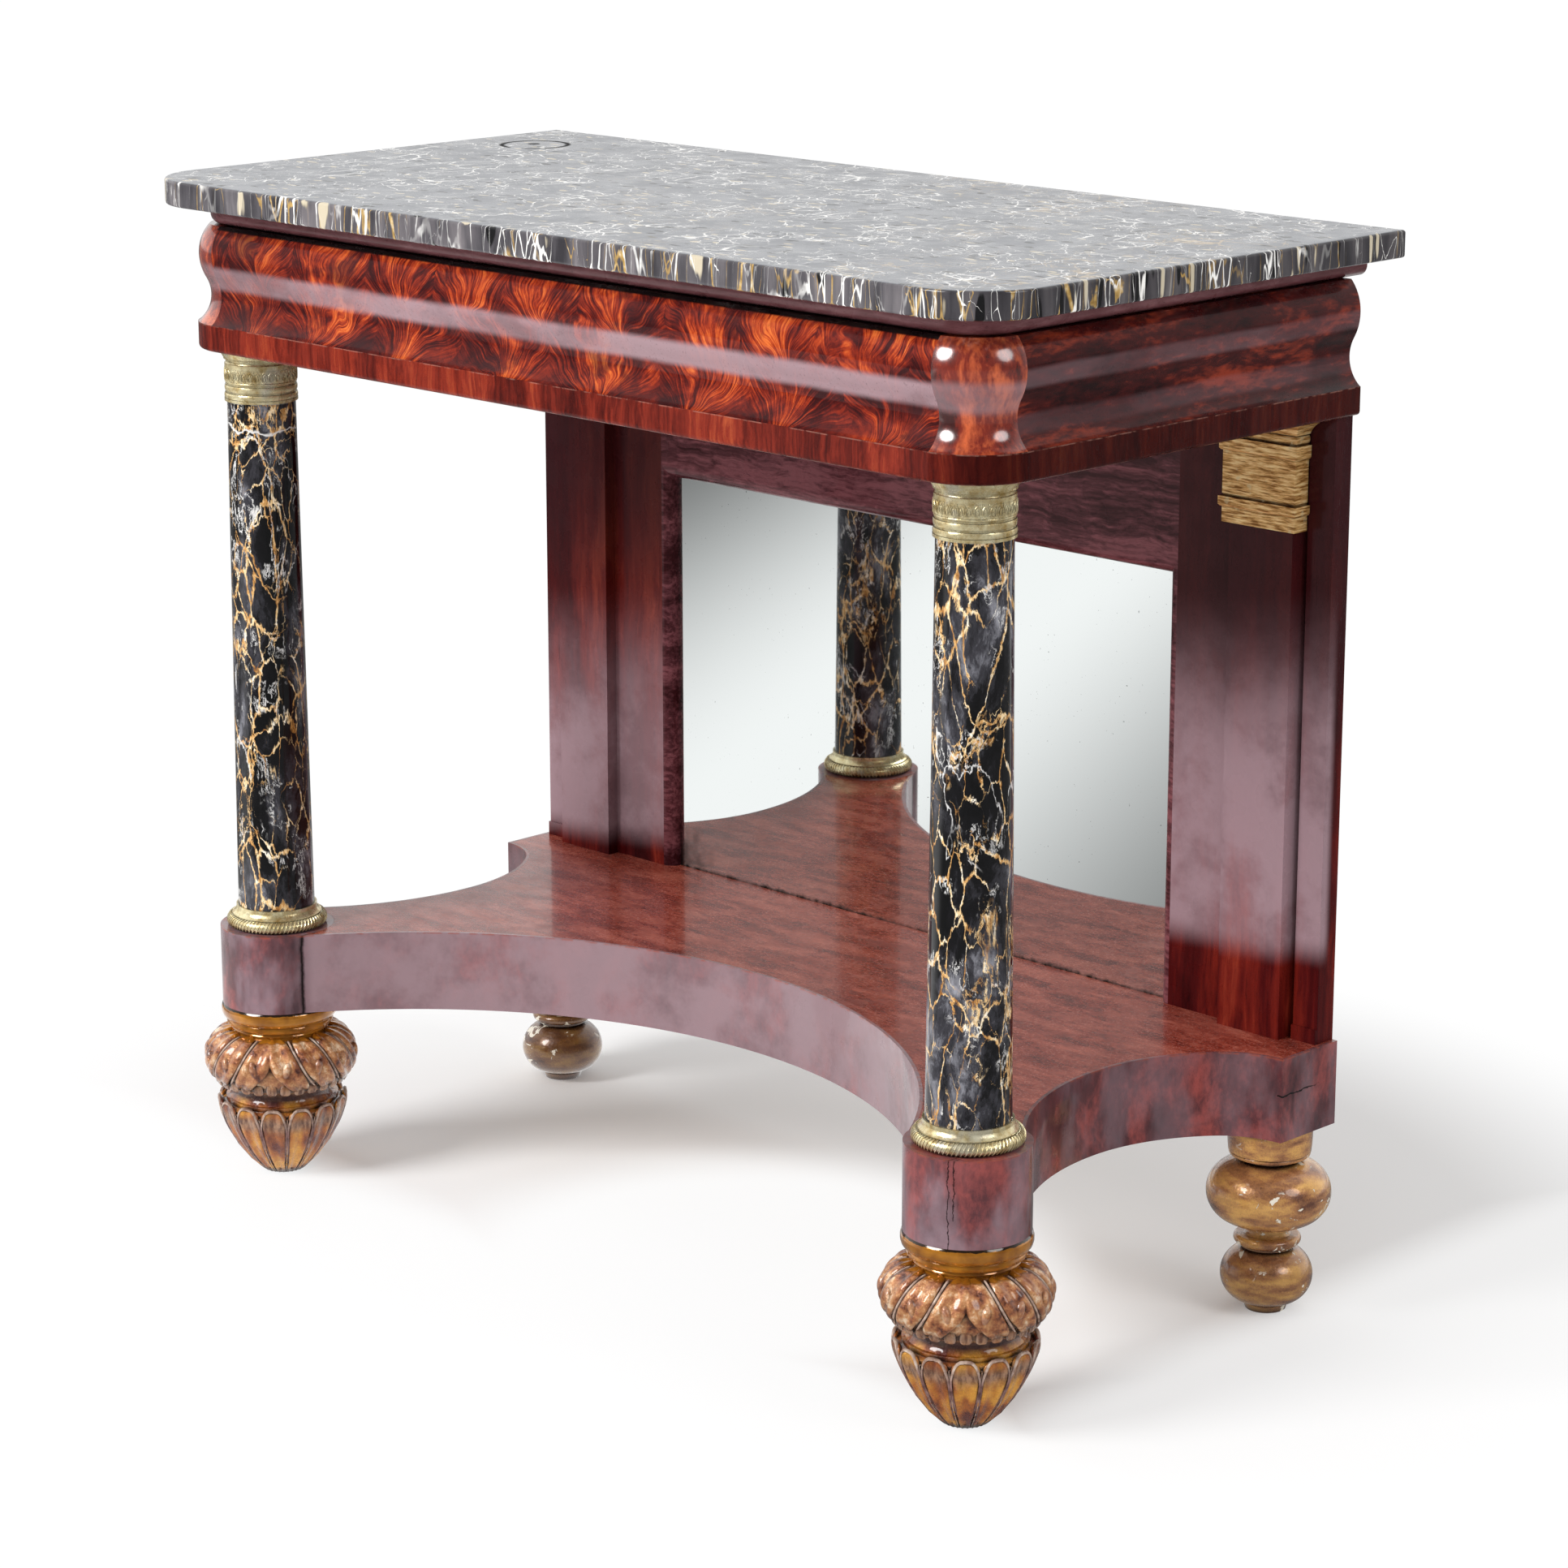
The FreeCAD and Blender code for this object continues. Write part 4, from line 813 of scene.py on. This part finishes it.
# Room: a white floor that keeps the shadows, a white surround, and two soft
# lamps, the key at the front left and a weaker one at the right. For the
# camera the floor glows by place, and gloss sees one bright stretch of it.

bpy.ops.mesh.primitive_plane_add(size=60, location=(0, 0, 0))
floor = bpy.context.object
floor.name = "floor"
f = Finish("white floor", Specular_IOR_Level=0.1)
rays = f.add("LightPath", out=None)
# The glow is full a metre away, strong in front, at the right and under the middle, and faint at the
# left and the back, where the shadows lie.
away = f.add("VectorMath", f.add("VectorMath", f.place, (1, 1, 0), operation="MULTIPLY"), operation="LENGTH")
under = f.add("VectorMath", f.place, (0.05, -0.05, 0.0), operation="DISTANCE")
near_by = f.add("Math", f.add("MapRange", f.y, -0.1, -0.2, 0.0, 0.85, **eased),
    f.add("MapRange", f.x, 0.4, 0.5, 0.0, 0.6, **eased), operation="MAXIMUM")
near_by = f.add("Math", near_by, f.add("MapRange", under, 0.2, 0.33, 0.85, 0.1, **eased), operation="MAXIMUM")
glow = f.add("Math", rays["Is Camera Ray"], f.add("Math", near_by, f.add("MapRange", away, 0.6, 1.0, **eased),
        operation="MAXIMUM"), operation="MULTIPLY")
# The stretch lies between two lines across the floor. The looking glass shows it as its white half.
across = f.add("Math", f.add("Math", f.x, -0.455, operation="MULTIPLY"),
    f.add("Math", f.y, 0.232, operation="MULTIPLY"), operation="ADD")
pool = f.add("Math", f.add("MapRange", across, -0.04, 0.3, 0.22, 1.0, **eased),
    f.add("MapRange", across, 0.36, 0.76, 1.0, 0.2, **eased), operation="MULTIPLY")
f.shader.inputs["Emission Color"].default_value = (1, 1, 1, 1)
f.tree.links.new(f.add("Math", glow, f.add("Math", rays["Is Glossy Ray"], pool, operation="MULTIPLY"),
        operation="ADD"), f.shader.inputs["Emission Strength"])
shade = f.add("Mix", f.add("Math", glow, rays["Is Glossy Ray"], operation="MAXIMUM"),
    f.add("ValToRGB", f.add("TexNoise", Scale=2, Detail=2), stops=((0.2, "FAFAFA"), (0.8, "FCFCFC"))), "000000",
    data_type="RGBA")
floor.data.materials.append(f.done(shade, 0.95))

world = bpy.data.worlds.new("white surround")
bpy.context.scene.world = world
world.use_nodes = True
sky = Nodes(world.node_tree)
background = sky.tree.nodes["Background"]
toward = sky.add("VectorMath", sky.add("TexCoord", out="Generated"), (-0.7, 0.7, 0.0), operation="DOT_PRODUCT")
rays = sky.add("LightPath", out=None)
mirrored = sky.add("MapRange", toward, -0.35, 0.5, 0.1, 1.0, **eased)
level = sky.add("Mix", rays["Is Diffuse Ray"], mirrored, 0.62)
level = sky.add("Mix", rays["Is Camera Ray"], level, 1.0)
background.inputs["Color"].default_value = (1, 1, 1, 1)
sky.tree.links.new(level, background.inputs["Strength"])


def lamp(name, place, target, size, power):
    """A round soft lamp, aimed at a target; its size is in metres and its power in watts."""
    light = bpy.data.lights.new(name, "AREA")
    light.shape, light.size, light.energy = "DISK", size, power
    made = bpy.data.objects.new(name, light)
    made.location = place
    made.rotation_euler = (Vector(target) - Vector(place)).to_track_quat("-Z", "Y").to_euler()
    bpy.context.scene.collection.objects.link(made)


lamp("key", (-1.2, -3.9, 3.1), (0, 0, 0.4), 2.2, 190)
lamp("second", (4.0, 0.3, 2.9), (0, 0, 0.5), 2.0, 40)


# Camera: in front and to the right of the table, above it, with a long lens.

sight = bpy.data.cameras.new("camera")
focal, picture, sensor = 5500, 1932, 36  # focal length and picture width in picture points, sensor in mm
sight.lens, sight.sensor_width, sight.clip_end = focal / picture * sensor, sensor, 100
camera = bpy.data.objects.new("camera", sight)
camera.location = (2.6859, -2.6721, 1.4204)
turn, dip = radians(44.6), radians(14.81)
ahead = Vector((-sin(turn) * cos(dip), cos(turn) * cos(dip), -sin(dip)))
camera.rotation_euler = ahead.to_track_quat("-Z", "Y").to_euler()
bpy.context.scene.collection.objects.link(camera)
bpy.context.scene.camera = camera
bpy.context.scene.view_settings.view_transform = "Standard"
